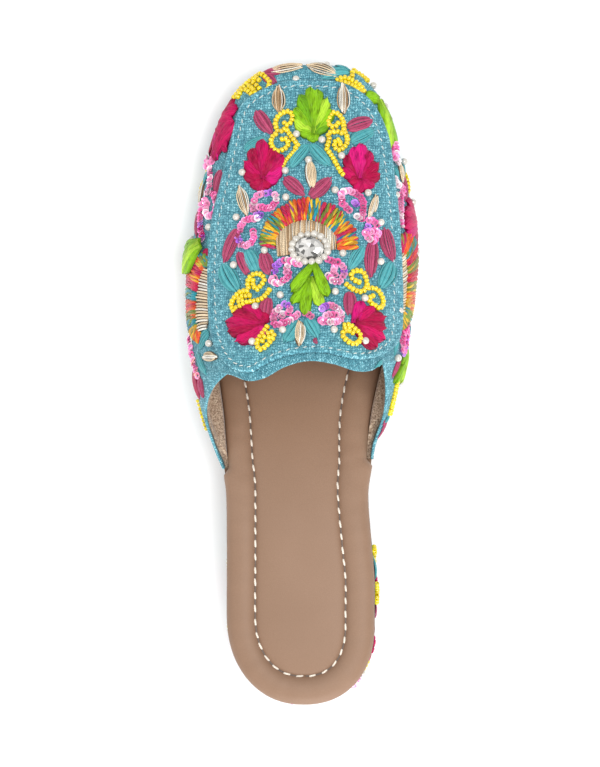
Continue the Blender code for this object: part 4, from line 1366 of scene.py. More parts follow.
# The dark tint is for a line along the bottom of the footbed's groove, under its stitches
THREAD_WHITE, GROOVE_LINE_DARK, FLECK_WHITE = (1.0, 0.98, 0.94), (0.16, 0.13, 0.12), (0.74, 0.88, 0.92)
PINKS = (PINK, PINK, PINK, PALE_PINK, PALE_PINK, PALE_PINK, SHELL, PINK, PALE_PINK, SHELL)
LILACS = (VIOLET, VIOLET, VIOLET, PALE_PINK)
PALE_PINKS, BRIGHT_PINKS = (SHELL, PALE_PINK, SHELL, PINK), (PINK, HOT_PINK, PINK, VIOLET, PINK)
PEACHES = (PINK, PEACH, PEACH, PALE_PINK)
MAUVES = (MAUVE, ROSE, MAUVE, PLUM, ROSE)
TURQUOISES = (TURQUOISE, DEEP_TURQUOISE, TURQUOISE)
MAGENTAS = (CRIMSON, MAGENTA, MAGENTA, MAGENTA, HOT_PINK)
CRIMSONS = (CRIMSON, MAGENTA)
# Lime lobes, with a painted highlight in yellow-green among them
LIMES = (LIME, LIME, LIME_PAINTED_HIGHLIGHT, LIME, LEAF)

# ---------------------------------------------------------------- the plug's field

# Places on the plug are (across, ahead) from the middle of its rosette. The pattern leans a little.
FIELD_X, FIELD_AT, FIELD_LEAN = 4.5, 181.9, -0.012


def field(across, ahead):
    """Places on the plug's face, by (across, ahead)."""
    ahead = np.asarray(ahead, float)
    return PLUG_FACE(FIELD_X + FIELD_LEAN * ahead + across, FIELD_AT + ahead)


PLUG_FACE = plan(PLUG_RISE)
ON_PLUG = Ground(field)
ON_WALL = Ground(wall, facing=-1)
ON_HEEL = Ground(heel, facing=1)

# Ribbon flowers: base, tips in order round the flower, width of a loop, the loops' colours in the same order
Flower = namedtuple("Flower", "base tips width tints lift neck", defaults=(0.1, 0.72))
PLUG_FLOWERS = [
    Flower((0.2, 44.6), [(-2.2, 42.2), (-5.8, 46.4), (-7.4, 50.6), (-7.2, 54.6), (-5.4, 60.0), (-1.2, 62.8),
                         (1.6, 62.0), (5.4, 59.0), (7.0, 54.2), (5.6, 48.6), (0.4, 41.6)], 5.4, LIMES),
    Flower((-19.6, 26.4), [(-21.6, 21.4), (-24.8, 23.6), (-27.4, 28.4), (-27.2, 33.6), (-24.2, 38.4),
                           (-20.0, 41.8), (-15.6, 38.4), (-12.2, 35.4), (-12.2, 31.0), (-13.4, 26.8),
                           (-17.4, 22.4)], 5.8,
           (MAGENTA, CRIMSON, CRIMSON, MAGENTA, CRIMSON, MAGENTA, CRIMSON, MAGENTA, HOT_PINK, HOT_PINK,
            CRIMSON)),
    Flower((18.0, 26.4), [(17.5, 20.8), (13.8, 25.2), (11.7, 30.6), (13.2, 35.4), (15.8, 38.6),
                          (18.2, 40.2), (21.6, 37.2), (25.2, 32.8), (25.8, 28.2), (23.4, 23.2)], 5.6,
           (MAGENTA, CRIMSON, MAGENTA, CRIMSON, HOT_PINK, HOT_PINK, MAGENTA, CRIMSON, CRIMSON, MAGENTA)),
    Flower((-18.6, -31.4), [(-20.6, -27.0), (-23.6, -25.0), (-27.6, -24.9), (-30.8, -27.2), (-33.3, -30.6),
                            (-32.6, -34.4), (-29.6, -38.2), (-25.4, -38.4), (-21.6, -35.4)], 5.6,
           (CRIMSON, MAGENTA, MAGENTA, CRIMSON, MAGENTA, CRIMSON, MAGENTA, MAGENTA, HOT_PINK)),
    Flower((16.4, -31.2), [(18.4, -22.6), (23.6, -24.8), (27.4, -28.4), (27.4, -32.8), (26.6, -37.2),
                           (23.8, -40.4), (20.4, -36.6)], 5.8,
           (HOT_PINK, MAGENTA, CRIMSON, CRIMSON, MAGENTA, CRIMSON, CRIMSON)),
    Flower((-1.4, -13.0), [(-7.8, -23.4), (-3.2, -27.4), (2.9, -24.4)], 4.6, LIMES, 0.0, 0.7),
    Flower((0.3, -7.6), [(-8.3, -18.9), (5.2, -20.4)], 4.9, LIMES, 0.9, 0.6),
]

# Silk petals: base, tip, width, colours
Petal = namedtuple("Petal", "base tip width tints")
PLUG_MAUVES = [
    ((-23.2, 54.8), (-16.2, 44.4), 5.6), ((12.8, 46.8), (23.8, 50.8), 6.0),
    ((-11.8, 27.2), (-3.2, 19.4), 5.6), ((-1.6, 18.6), (7.4, 27.2), 5.4),
    ((-29.6, 7.2), (-35.6, -7.4), 5.0), ((-29.6, -2.4), (-25.4, -12.6), 4.6),
    ((-19.8, -2.8), (-16.6, -12.2), 5.8), ((23.4, 2.6), (22.2, -13.8), 5.4),
    ((27.6, 7.4), (31.0, -6.6), 5.6), ((-17.4, -20.6), (-18.4, -30.8), 5.6),
    ((14.0, -18.2), (14.0, -28.4), 5.2), ((0.9, -36.6), (1.9, -39.2), 1.6),
]
PLUG_TURQUOISES = [
    ((-27.8, 38.0), (-18.0, 43.6), 5.6), ((14.4, 41.2), (24.4, 46.8), 5.6),
    ((-1.8, 40.6), (-9.6, 30.4), 5.2), ((-1.4, 40.6), (7.2, 31.2), 5.2),
    ((-26.2, -1.6), (-21.6, -11.2), 6.8), ((-36.2, -7.0), (-28.8, -19.4), 7.2),
    ((19.6, -0.4), (13.8, -10.2), 5.0), ((30.4, -6.2), (25.6, -17.6), 6.6),
    ((-5.2, -29.8), (-11.2, -38.8), 6.0), ((-2.6, -28.8), (2.2, -37.0), 5.4),
]
PLUG_PETALS = [Petal(*row, MAUVES) for row in PLUG_MAUVES]
PLUG_PETALS += [Petal(*row, TURQUOISES) for row in PLUG_TURQUOISES]

# Seed beads: curves by a few places each
PLUG_SCROLLS = [
    [(-11.6, 49.0), (-10.4, 48.0), (-8.9, 49.4), (-8.4, 51.8), (-9.8, 53.7), (-12.6, 53.0), (-14.6, 50.9),
     (-15.1, 48.2), (-14.3, 45.4), (-16.2, 43.4), (-16.8, 41.0), (-16.0, 38.9), (-14.2, 37.5),
     (-12.2, 38.0), (-10.4, 39.2), (-10.0, 41.0), (-11.0, 42.5), (-12.5, 42.3)],
    [(-12.8, 45.6), (-11.2, 46.6), (-9.9, 45.0), (-8.4, 42.9), (-7.2, 41.2), (-6.2, 40.2), (-7.0, 38.7)],
    [(9.7, 48.8), (8.5, 47.4), (6.7, 47.6), (5.7, 49.2), (6.6, 51.4), (8.0, 53.3), (10.4, 51.9),
     (11.7, 49.2), (12.0, 46.0), (13.1, 43.4), (13.2, 41.0), (11.9, 38.9), (9.8, 37.7), (8.4, 39.2),
     (8.4, 41.0), (9.8, 42.0)],
    [(11.0, 44.8), (9.3, 45.4), (7.4, 45.1), (5.8, 44.6), (6.2, 42.4), (5.7, 40.2), (5.3, 38.2),
     (6.6, 36.4), (7.8, 34.4), (9.0, 32.2), (10.2, 29.9), (11.6, 27.9)],
    [(10.6, 39.9), (10.4, 41.0)],
    [(-23.4, -14.2), (-23.2, -16.2), (-21.8, -17.8), (-20.3, -16.2), (-18.9, -13.9), (-20.5, -11.8),
     (-22.9, -11.7), (-25.0, -13.4), (-25.4, -16.0), (-25.2, -18.2), (-28.0, -18.5), (-30.4, -20.6),
     (-31.9, -23.6), (-30.9, -26.2)],
    [(-29.8, -24.9), (-27.6, -23.9), (-25.4, -22.7), (-22.6, -22.4), (-20.0, -21.5), (-18.2, -19.9),
     (-16.9, -18.0)],
    [(-24.6, -20.2), (-26.4, -20.4), (-28.2, -20.6), (-29.2, -22.4), (-27.4, -22.2)],
    [(-17.6, -32.6), (-18.8, -34.4), (-20.4, -36.4), (-21.4, -38.6), (-20.9, -40.8), (-19.4, -41.3),
     (-17.6, -39.8), (-16.0, -38.0), (-14.9, -36.0), (-15.8, -34.7), (-17.2, -35.2)],
    [(-16.8, -36.9), (-18.5, -36.6), (-19.4, -38.2)],
    [(17.6, -14.9), (16.2, -14.3), (14.8, -13.2), (14.9, -11.2), (17.0, -10.3), (19.2, -11.0),
     (20.2, -13.4), (20.6, -15.8), (19.4, -18.2), (17.6, -18.6), (15.2, -17.6), (12.8, -15.8)],
    [(21.2, -17.2), (23.6, -17.2), (25.4, -18.8), (26.6, -21.6), (26.4, -23.8), (25.0, -25.0),
     (23.4, -23.9), (21.7, -22.8), (21.6, -21.0), (22.8, -20.2)],
    [(12.0, -31.9), (14.2, -31.9), (15.8, -33.2), (17.6, -35.0), (18.1, -36.8), (17.0, -38.7),
     (15.0, -39.1), (12.8, -37.7), (11.4, -36.0), (11.8, -34.4), (13.6, -34.0), (15.2, -34.9)],
    [(12.2, -33.1), (13.7, -33.0)],
]
PLUG_FINE_SCROLLS = [[(-7.5, 37.7), (-9.2, 35.8), (-10.9, 33.7), (-12.0, 31.2)]]

# Sequins: a curve, and which colours it draws from
PLUG_SEQUINS = [
    ([(-22.2, 19.4), (-19.8, 20.4)], PINKS), ([(-18.6, 20.6), (-16.8, 20.6)], LILACS),
    ([(-15.0, 19.9), (-14.3, 18.0), (-15.4, 15.8), (-17.2, 14.4), (-19.6, 14.6), (-21.2, 15.0)], PINKS),
    ([(-23.0, 17.4), (-23.6, 15.0), (-23.2, 13.2)], PINKS), ([(-22.4, 11.8), (-20.0, 11.6)], LILACS),
    ([(-22.0, 10.4), (-24.4, 10.2), (-26.8, 9.6), (-28.4, 7.4), (-28.4, 5.0)], PINKS),
    ([(-29.3, 2.8), (-29.0, 1.4)], LILACS),
    ([(-28.4, 0.2), (-26.4, -0.3), (-24.2, 0.8), (-23.2, 2.8), (-23.5, 5.4)], PINKS),
    ([(10.9, 20.2), (12.8, 21.4), (15.2, 20.8), (17.4, 19.6), (19.0, 17.8), (19.3, 15.2), (19.1, 12.4),
      (18.6, 9.6)], PINKS),
    ([(11.2, 18.6), (11.1, 16.8), (12.4, 15.1), (14.1, 13.2)], PINKS),
    ([(16.2, 16.6), (16.6, 15.6)], LILACS), ([(17.0, 11.2), (17.8, 10.2)], PINKS),
    ([(21.6, 9.8), (23.4, 9.2), (24.6, 7.6)], PINKS), ([(21.2, 7.2), (20.6, 6.0)], LILACS),
    ([(20.2, 4.8), (22.2, 5.2), (24.8, 5.4), (24.4, 3.4), (22.6, 3.4), (20.9, 3.0), (22.4, 1.6),
      (24.0, 1.9)], PINKS),
    ([(-5.4, -8.0), (-7.4, -7.2), (-9.4, -6.5), (-11.4, -6.4)], PINKS),
    ([(-12.8, -7.2), (-14.4, -8.6), (-15.2, -9.8), (-14.2, -11.0)], LILACS),
    ([(-9.8, -8.8), (-10.4, -10.6), (-9.2, -12.4), (-10.8, -13.9), (-13.4, -15.5), (-16.4, -14.2),
      (-14.6, -13.2)], PINKS),
    ([(5.8, -6.0), (7.6, -6.9), (9.6, -7.2)], PINKS),
    ([(11.2, -8.4), (12.0, -10.8), (11.4, -13.0)], LILACS),
    ([(10.6, -14.4), (8.6, -15.0), (7.0, -14.0), (5.6, -12.2)], PINKS),
    ([(8.4, -9.2), (7.8, -10.6), (8.4, -12.4)], PINKS), ([(-11.0, -23.6), (-9.6, -24.4)], LILACS),
    ([(-8.8, -25.4), (-9.4, -27.6)], PINKS),
    ([(-12.8, -25.2), (-14.6, -27.2), (-15.2, -29.8), (-14.2, -32.0), (-11.8, -31.2), (-9.6, -30.8),
      (-7.6, -29.2), (-5.6, -27.8)], PINKS),
    ([(-11.4, -27.6), (-12.4, -29.4)], PINKS), ([(-2.6, -27.4), (-0.2, -28.8)], PINKS),
    ([(3.6, -25.4), (5.2, -24.4)], LILACS),
    ([(6.4, -24.2), (8.4, -25.0), (10.2, -26.6), (11.0, -28.8), (9.6, -30.4), (7.2, -30.8), (4.8, -30.8),
      (2.8, -30.2)], PINKS),
    ([(5.0, -28.2), (6.8, -27.8), (8.8, -28.2)], PINKS),
]
PLUG_PEARLS = [
    (-6.7, 44.3), (3.3, 41.9), (-1.9, 33.7), (11.0, 35.4), (-11.0, 29.4), (-28.0, 29.0), (8.5, 21.5),
    (21.1, 20.6), (-10.7, 18.7), (-30.1, 11.0), (-18.9, -2.4), (11.4, -3.6), (-31.0, -8.0), (25.7, -6.6),
    (25.9, 8.9), (-12.6, -20.2), (8.5, -18.8), (19.6, -21.3), (-22.2, -24.6), (-11.5, -33.9), (8.1, -33.8),
    (-23.2, -38.4), (19.7, -38.1),
]
# Gold wire leaves: base, tip, width, wires, outlined or not
Leaf = namedtuple("Leaf", "base tip width wires outline")
PLUG_LEAVES = [
    Leaf((-13.7, 53.4), (-14.2, 64.2), 4.6, 6, True), Leaf((11.9, 53.0), (11.6, 65.2), 4.4, 6, True),
    Leaf((-1.6, 33.6), (-0.4, 22.6), 4.2, 7, False), Leaf((-29.2, 23.6), (-26.0, 11.6), 3.9, 5, True),
    Leaf((-4.7, -30.4), (-5.0, -39.8), 4.2, 7, False), Leaf((21.6, 10.8), (24.4, 19.8), 2.2, 4, False),
    Leaf((23.8, 13.2), (24.8, 19.8), 1.8, 3, False),
]

# The sunburst's blades from left to right, each of four strands
BLADES = [
    (RED, PURPLE, GREEN, RED), (GREEN, OLIVE, YELLOW, GREEN), (YELLOW, GREEN, GOLDEN, OLIVE),
    (GOLDEN, TEAL, YELLOW, GOLDEN), (GOLDEN, YELLOW, TEAL, GOLDEN), (GOLDEN, ORANGE, GOLDEN, YELLOW),
    (TEAL, GREEN, TEAL, OLIVE), (OLIVE, RED, TEAL, GREEN), (YELLOW, ORANGE, GOLDEN, OLIVE),
    (ORANGE, GOLDEN, ORANGE, RED), (RED, MAGENTA, RED, ORANGE), (RED, RED, ORANGE, MAGENTA),
    (YELLOW, OLIVE, GOLDEN, PURPLE), (ORANGE, DEEP_ORANGE, ORANGE, GOLDEN),
    (RED, DEEP_ORANGE, MAGENTA, RED), (DEEP_ORANGE, RED, ORANGE, RED),
    (ORANGE, DEEP_ORANGE, GOLDEN, ORANGE), (TEAL, YELLOW, BLUE, GREEN), (YELLOW, TEAL, OLIVE, YELLOW),
    (TEAL, BLUE, YELLOW, TEAL), (RED, PURPLE, OLIVE, RED), (OLIVE, GREEN, RED, GREEN),
    (RED, MAGENTA, ORANGE, RED), (GREEN, YELLOW, OLIVE, GREEN), (ORANGE, YELLOW, RED, GREEN),
    (YELLOW, TEAL, YELLOW, GREEN), (TEAL, BLUE, TEAL, YELLOW), (ORANGE, GOLDEN, ORANGE, TEAL),
    (ORANGE, ORANGE, GOLDEN, YELLOW), (RED, MAGENTA, RED, DEEP_ORANGE), (TEAL, YELLOW, BLUE, PURPLE),
    (GOLDEN, ORANGE, RED, GOLDEN), (GOLDEN, YELLOW, ORANGE, GOLDEN), (ORANGE, DEEP_ORANGE, GOLDEN, ORANGE),
]
BLADE_COUNT = len(BLADES)
# The sunbursts on the walls, in broader patches of colour
LATERAL_BLADES = [
    (GREEN, TEAL, OLIVE, GREEN), (ORANGE, GOLDEN, ORANGE, YELLOW), (MAGENTA, RED, MAGENTA, RED),
    (ORANGE, DEEP_ORANGE, GOLDEN, ORANGE), (RED, MAGENTA, RED, RED), (TEAL, TEAL, GREEN, TEAL),
    (DEEP_ORANGE, ORANGE, DEEP_ORANGE, RED), (OLIVE, ORANGE, GREEN, OLIVE), (TEAL, GREEN, TEAL, BLUE),
    (GOLDEN, YELLOW, GOLDEN, OLIVE), (ORANGE, DEEP_ORANGE, ORANGE, GOLDEN),
]
MEDIAL_BLADES = [
    (YELLOW, GREEN, GOLDEN, OLIVE), (GREEN, TEAL, OLIVE, GREEN), (GOLDEN, YELLOW, ORANGE, GOLDEN),
    (ORANGE, DEEP_ORANGE, ORANGE, GOLDEN), (OLIVE, YELLOW, GREEN, OLIVE), (RED, DEEP_ORANGE, RED, RED),
    (OLIVE, GREEN, GOLDEN, OLIVE), (RED, RED, DEEP_ORANGE, MAGENTA), (TEAL, GREEN, TEAL, OLIVE),
    (ORANGE, DEEP_ORANGE, ORANGE, ORANGE), (MAGENTA, RED, OLIVE, MAGENTA),
]


def twisted_cord(sewing, ground, base, tip, width, tints, bend):
    """Strands of silk from base to tip, slowly turning round each other."""
    base, axis, side = leaf_frame(base, tip)
    t = np.linspace(0, 1, CORD_STEPS)
    places = base + axis * t[:, None] + side * (bend * np.sin(math.pi * t))[:, None]
    shape = np.sqrt(np.maximum(1 - np.abs(2 * t - 1) ** 12, 0.3))
    points, normals = ground.at(places[:, 0], places[:, 1], 0.2 + shape)
    across = unit(np.cross(np.gradient(points, axis=0), normals))
    phase = draw.random()
    for k, tint in enumerate(tints):
        turn = 2 * math.pi * (k / len(tints) + CORD_TWIST * t + phase)
        shift = across * (np.cos(turn) * shape)[:, None] + normals * (np.sin(turn) * shape * 0.7)[:, None]
        thick = width * 0.23 * shape
        tube(sewing, points + shift * width * 0.27, normals, thick, shade(tint, 0.62, 1.05), sides=6)


# Part of an ellipse: its middle, radii across and ahead, and the angles in degrees where it starts and ends
Arc = namedtuple("Arc", "centre radii start end")

# Gold wires under an arc: where the first and last ones start, from its middle; how many; their radius;
# their colours; how far they lean; how far the rosette reaches, which the middle ones stop at
COMB_DEFAULTS = (22, 0.4, PALE_GOLDS, 0.0, (0.1, 0.1))
Comb = namedtuple("Comb", "foot count thick golds lean clear", defaults=COMB_DEFAULTS)


def on_arc(arc, share):
    """The place a share of the way along an arc."""
    angle = math.radians(arc.start + (arc.end - arc.start) * share)
    return np.add(arc.centre, np.multiply(arc.radii, (math.cos(angle), math.sin(angle))))


def comb_wires(sewing, ground, inner, comb):
    """Gold wires side by side under the inner arc, with darker ones between them as painted shade in the
    gaps.
    """
    half, tall = inner.radii
    for k in range(comb.count):
        share = ((k + 0.5) / comb.count * 2 - 1) * 0.98
        x = share * half
        start = comb.foot[0] + (comb.foot[1] - comb.foot[0]) * (share + 1) / 2
        if abs(x) < comb.clear[0]:
            start = math.copysign(comb.clear[1] * math.sqrt(1 - (x / comb.clear[0]) ** 2), tall)
        end = tall * (0.45 + 0.55 * math.sqrt(1 - share * share)) + draw.uniform(-0.6, 0.6)
        low = np.add(inner.centre, (x * 0.96 - comb.lean / 2 + draw.uniform(-0.1, 0.1), start))
        high = np.add(inner.centre, (x * 1.02 + comb.lean / 2 + draw.uniform(-0.1, 0.1), end))
        run, lift = np.array([low, (low + high) / 2, high]), 0.6 + 0.2 * (k % 2)
        wire(sewing, ground, run, draw.choice(comb.golds), radius=comb.thick, lift=lift, arch=0.8)
        # A darker wire beside each gold one: painted shade in the gaps between them
        wire(sewing, ground, run + (half / comb.count, 0.0), PAINTED_GAP_SHADE, radius=comb.thick, lift=0.2)


def sunburst(kit, ground, colours, outer, inner, comb, ragged=0.02):
    """Blades of changing colours from the inner arc to the outer one, round a comb of gold wires.
    ragged: by how much of its length a blade may be longer or shorter."""
    last_blade = BLADE_COUNT - 1
    for n in range(BLADE_COUNT):
        tints = colours[n * len(colours) // BLADE_COUNT]
        base, tip = on_arc(inner, n / last_blade), on_arc(outer, n / last_blade)
        shares = (n / last_blade, (n + 1) / last_blade)
        here, beside = (on_arc(outer, share) * 0.7 + on_arc(inner, share) * 0.3 for share in shares)
        width = float(np.linalg.norm(beside - here)) * 1.25
        tip = base + (tip - base) * draw.uniform(1 - ragged, 1 + ragged)
        twisted_cord(kit.silk, ground, base, tip, width, tints, bend=draw.uniform(-0.4, 0.4))
    comb_wires(kit.zari, ground, inner, comb)


def rosette(kit, ground, centre, radii):
    """Pearls in a ring round a heap of cut stones, the largest in its middle."""
    centre, radii = np.array(centre, float), np.array(radii, float)
    for k in range(ROSETTE_PEARLS):
        angle = 2 * math.pi * (k + 0.3) / ROSETTE_PEARLS
        spot = centre + radii * np.array([math.cos(angle), math.sin(angle)]) * draw.uniform(0.97, 1.04)
        pearls(kit.pearls, ground, [spot], size=draw.uniform(0.94, 1.1))
    heap = [(0.0, 0.0, 5.6)]
    for a in np.arange(ROSETTE_STONES) * 0.7:
        heap.append((0.72 * math.cos(a), 0.72 * math.sin(a), draw.uniform(1.2, 1.7)))
    for a, b, size in heap:
        spot = centre + radii * (a, b)
        point, normal = ground.at(spot[:1], spot[1:], 0.2)
        stone(kit.stones, point[0], normal[0], size)


# What the shoe is embroidered with: each kind's material, slot and the angle from which its edges are sharp
KINDS = {
    "silk": (SILK, "silk_thread", 60), "ribbon": (RIBBON, "ribbon", 60),
    "beads": (BEAD_GLASS, "seed_bead", 60), "sequins": (SEQUIN_FOIL, "sequin", 50),
    "pearls": (PEARL_SKIN, "pearl", 60), "zari": (ZARI, "zari", 60), "stones": (STONE, "crystal", 12),
}


class Kit:
    """The meshes that one part of the shoe is embroidered with, by the names of their kinds."""

    def __init__(self, place):
        self.place = place
        for kind in KINDS:
            setattr(self, kind, Sewing())

    def finish(self):
        for kind, (material, slot, sharp) in KINDS.items():
            sewing = getattr(self, kind)
            if sewing.points:
                finish_piece(sewing.piece(self.place + "_" + kind, material, sharp=sharp), slot)


Pattern = namedtuple("Pattern", "flowers petals scrolls sequins leaves pearls", defaults=((),) * 6)
PLUG_PATTERN = Pattern(PLUG_FLOWERS, PLUG_PETALS, PLUG_SCROLLS, PLUG_SEQUINS, PLUG_LEAVES, PLUG_PEARLS)

# The toe's front, by (along, up)
TOE_PATTERN = Pattern(
    petals=[
        Petal((-21.5, 9.5), (-12, 14), 5.4, MAUVES), Petal((-20.5, 12), (-16.6, 18.8), 4.2, MAUVES),
        Petal((15.6, 13), (4.4, 17.8), 5.2, TURQUOISES), Petal((8.6, 9), (15.6, 12), 4.2, TURQUOISES),
        Petal((-9, 4.6), (-1, 6.4), 4.0, TURQUOISES), Petal((10, 4.4), (2, 6.2), 4.0, TURQUOISES),
        Petal((14, 5), (21, 7), 4.2, MAUVES), Petal((-29, 4.6), (-22, 6.6), 4.2, TURQUOISES),
        Petal((32, 5), (25, 7.6), 4.2, TURQUOISES),
    ],
    scrolls=[
        [(-35.4, 12), (-33, 11.5), (-30.5, 10.6), (-28, 9.8), (-25.5, 9.4), (-23, 9.8), (-21.2, 12),
         (-19.8, 15), (-19.4, 17.6), (-21.2, 19.6)],
        [(-34, 14.2), (-31.5, 13), (-29, 12.2), (-26.5, 11.8), (-24, 12.4), (-23, 14.4)],
        [(-29.6, 14.6), (-28.8, 17), (-28.2, 19.4)], [(-27.6, 14.2), (-27, 16.4), (-26.8, 18.4)],
        [(-25.4, 14), (-24.8, 16.2), (-24.4, 17.8)],
        [(12, 18), (13.5, 16.6), (15.5, 16), (18, 16), (20.5, 16), (22.5, 16.3), (24.4, 17)],
        [(14, 18.4), (16, 18), (18.5, 17.9), (21, 17.9), (23.4, 18.4)],
        [(17, 14.2), (16.4, 12), (17.4, 9.8), (19.5, 9.6), (21.5, 10.2), (23, 11.5)],
    ],
    leaves=[
        Leaf((-17.2, 12.6), (-4.6, 12.2), 5.0, 6, False), Leaf((-2.4, 12.0), (11.2, 15.6), 5.2, 6, False),
    ],
    pearls=[(-7.6, 18.4), (5.4, 7), (26, 10), (40, 6.4), (-17, 6), (-33, 6.5)],
)

LATERAL_PATTERN = Pattern(
    flowers=[
        Flower((-48, 9), [(-36, 12.5), (-37.6, 18), (-42, 20.4), (-53, 25), (-59, 21.5), (-60.4, 12)], 6.0,
               MAGENTAS),
        Flower((-60.2, 19.0), [(-42.6, 21.4)], 7.0, (MAGENTA,), 0.9, 0.75),
        Flower((-94, 29.6), [(-100.4, 12.5), (-105, 12), (-108.6, 15), (-108.4, 20)], 6.2, LIMES, 2.0),
    ],
    petals=[
        Petal((-61.6, 26.4), (-73.0, 27.6), 5.6, MAUVES), Petal((-82.5, 14.5), (-94, 22.5), 5.4, MAUVES),
        Petal((-89.5, 32), (-96.5, 36), 3.0, TURQUOISES),
        Petal((-94.6, 32.6), (-102.6, 33.4), 5.4, CRIMSONS),
        Petal((-127.5, 42.5), (-138, 34.5), 5.2, TURQUOISES),
        Petal((-139, 33), (-150.5, 41), 5.4, TURQUOISES),
        Petal((-147.5, 24.6), (-160.4, 26.6), 9.0, CRIMSONS),
        Petal((-150.5, 34.0), (-160, 32.6), 6.0, MAUVES), Petal((-66, 18), (-74, 13), 4.2, TURQUOISES),
        Petal((-84, 5), (-92, 8), 4.2, TURQUOISES), Petal((-118, 8), (-127, 6), 4.4, MAUVES),
        Petal((-128, 11), (-136, 14), 4.6, TURQUOISES), Petal((-34, 5), (-42, 5), 4.0, MAUVES),
        Petal((-161, 5), (-168, 4.5), 3.4, TURQUOISES),
    ],
    scrolls=[
        [(-66, 8), (-70, 5), (-75, 6), (-77, 9), (-74, 11), (-71.6, 9)],
        [(-160.5, 13.4), (-164, 12), (-168, 11), (-172, 10)],
        [(-96, 5), (-99, 8), (-103, 7), (-105, 4.5), (-108, 5), (-110, 8), (-113, 8.6)],
        [(-139, 10), (-141, 7), (-144, 6), (-146, 8.5), (-144, 11)],
    ],
    sequins=[
        ([(-60.6, 19.4), (-63, 18), (-65, 15.4), (-63.4, 13), (-61.4, 14.6)], PINKS),
        ([(-64.8, 19), (-66.8, 21.4), (-69, 22.2), (-71.6, 24)], PALE_PINKS),
        ([(-75, 21.6), (-73.2, 24.6), (-73.2, 28.2), (-75, 30.8), (-78, 32), (-80.6, 31.2), (-82.2, 28.4),
          (-81, 26), (-78.4, 25.6), (-77.8, 22.8), (-80, 21.4)], PINKS),
        ([(-82, 21.8), (-84.4, 23), (-86.8, 24.4), (-89.2, 26), (-91, 28), (-92.8, 29.2)], BRIGHT_PINKS),
        ([(-134.5, 20), (-138, 24), (-141.5, 26.4)], PINKS),
        ([(-143.5, 29), (-147, 32), (-150.5, 33)], PEACHES),
    ],
    leaves=[
        Leaf((-71.4, 13.6), (-80.8, 16.4), 4.0, 6, False), Leaf((-140, 39.6), (-136.4, 50), 4.4, 6, False),
        Leaf((-111, 6), (-104, 3.5), 3.0, 4, False),
    ],
    pearls=[
        (-86.2, 31.2), (-76.4, 8.6), (-95, 9), (-132.6, 44.4), (-62, 8), (-100, 3.5), (-116, 3.5),
        (-136, 8), (-132, 5), (-152, 5), (-46, 4), (-162, 9), (-118, 16),
    ],
)

MEDIAL_PATTERN = Pattern(
    flowers=[
        Flower((32, 13), [(26, 18.0), (42.5, 19.2), (50.4, 20.0), (51, 13.8)], 5.8, LIMES),
        Flower((84, 6),
               [(74.5, 12), (74, 19.5), (77.5, 24.6), (82.6, 27), (87.5, 25.6), (91.8, 21.5), (93.4, 14)],
               6.2, MAGENTAS),
        Flower((133.4, 21), [(141, 27.4), (148, 27.6), (147.6, 20.4), (143, 14)], 5.6, LIMES),
    ],
    petals=[
        Petal((63.4, 16), (74.5, 20.2), 5.0, MAUVES), Petal((58, 21.6), (64.4, 21.4), 3.0, TURQUOISES),
        Petal((137, 31.6), (146.6, 31.2), 4.0, MAUVES), Petal((163.2, 16.0), (172.4, 8.0), 5.4, MAUVES),
        Petal((161.6, 15.6), (165.0, 12.6), 3.2, TURQUOISES),
        Petal((121.5, 33.4), (135, 36.2), 4.6, TURQUOISES), Petal((112, 6), (120, 9), 4.4, TURQUOISES),
        Petal((47, 8), (55, 5), 4.4, TURQUOISES), Petal((57, 9), (64, 11), 4.0, TURQUOISES),
        Petal((97, 5), (105, 6.5), 4.2, MAUVES), Petal((124, 12), (130, 17), 4.2, TURQUOISES),
        Petal((128, 6), (136, 6), 4.2, MAUVES), Petal((150, 8), (158, 10), 4.2, TURQUOISES),
        Petal((133, 46), (137, 52), 4.0, TURQUOISES),
    ],
    scrolls=[
        [(147.7, 25.4), (150, 24.2), (152, 22.9), (154.2, 21.6), (156.3, 20.0), (158.4, 18.4),
         (160.6, 16.6)],
        [(62, 5), (65, 8), (69, 7), (71, 4)], [(108, 4), (110, 7), (107, 9)],
        [(141, 5), (144, 8), (147, 6), (146, 3.6)],
    ],
    sequins=[
        ([(49.8, 18.4), (51.6, 20.6), (53.6, 21.6), (55.2, 19.4), (53, 17.4), (51, 16)], PINKS),
        ([(57, 18), (57.8, 20.4)], PALE_PINKS),
        ([(62.4, 24.6), (65.2, 24.6), (66.8, 22.4), (69.4, 21.8), (70.4, 24.2), (73, 25.4), (75.6, 26.4),
          (78.2, 27.6), (81.6, 28.6)], PINKS),
        ([(123.6, 25), (126, 29), (129, 30.6), (132, 30), (134.6, 31.4)], BRIGHT_PINKS),
        ([(127, 24), (130, 26), (133, 26.4), (135.4, 28)], BRIGHT_PINKS),
        ([(125.6, 38), (127, 39)], PALE_PINKS),
    ],
    leaves=[Leaf((58.4, 17), (65.8, 19.2), 3.6, 5, False), Leaf((116, 3.5), (124, 4.5), 3.0, 4, False)],
    pearls=[
        (136.6, 34.6), (116.2, 33.6), (68.8, 27), (58.6, 11), (75.2, 11.6), (44, 5), (95, 9), (104, 3.6),
        (95.4, 16.5), (139, 9), (148, 11), (161, 5), (35, 8),
    ],
)

# Round the heel, by (along, height): where each sprig stands and how tall it is, above its foot
HEEL_SPRIGS = [(-64.0, 0.62), (-38.5, 0.66), (-12.5, 0.95), (13.0, 0.9), (35.0, 0.42)]
SPRIG_FOOT = 7.6


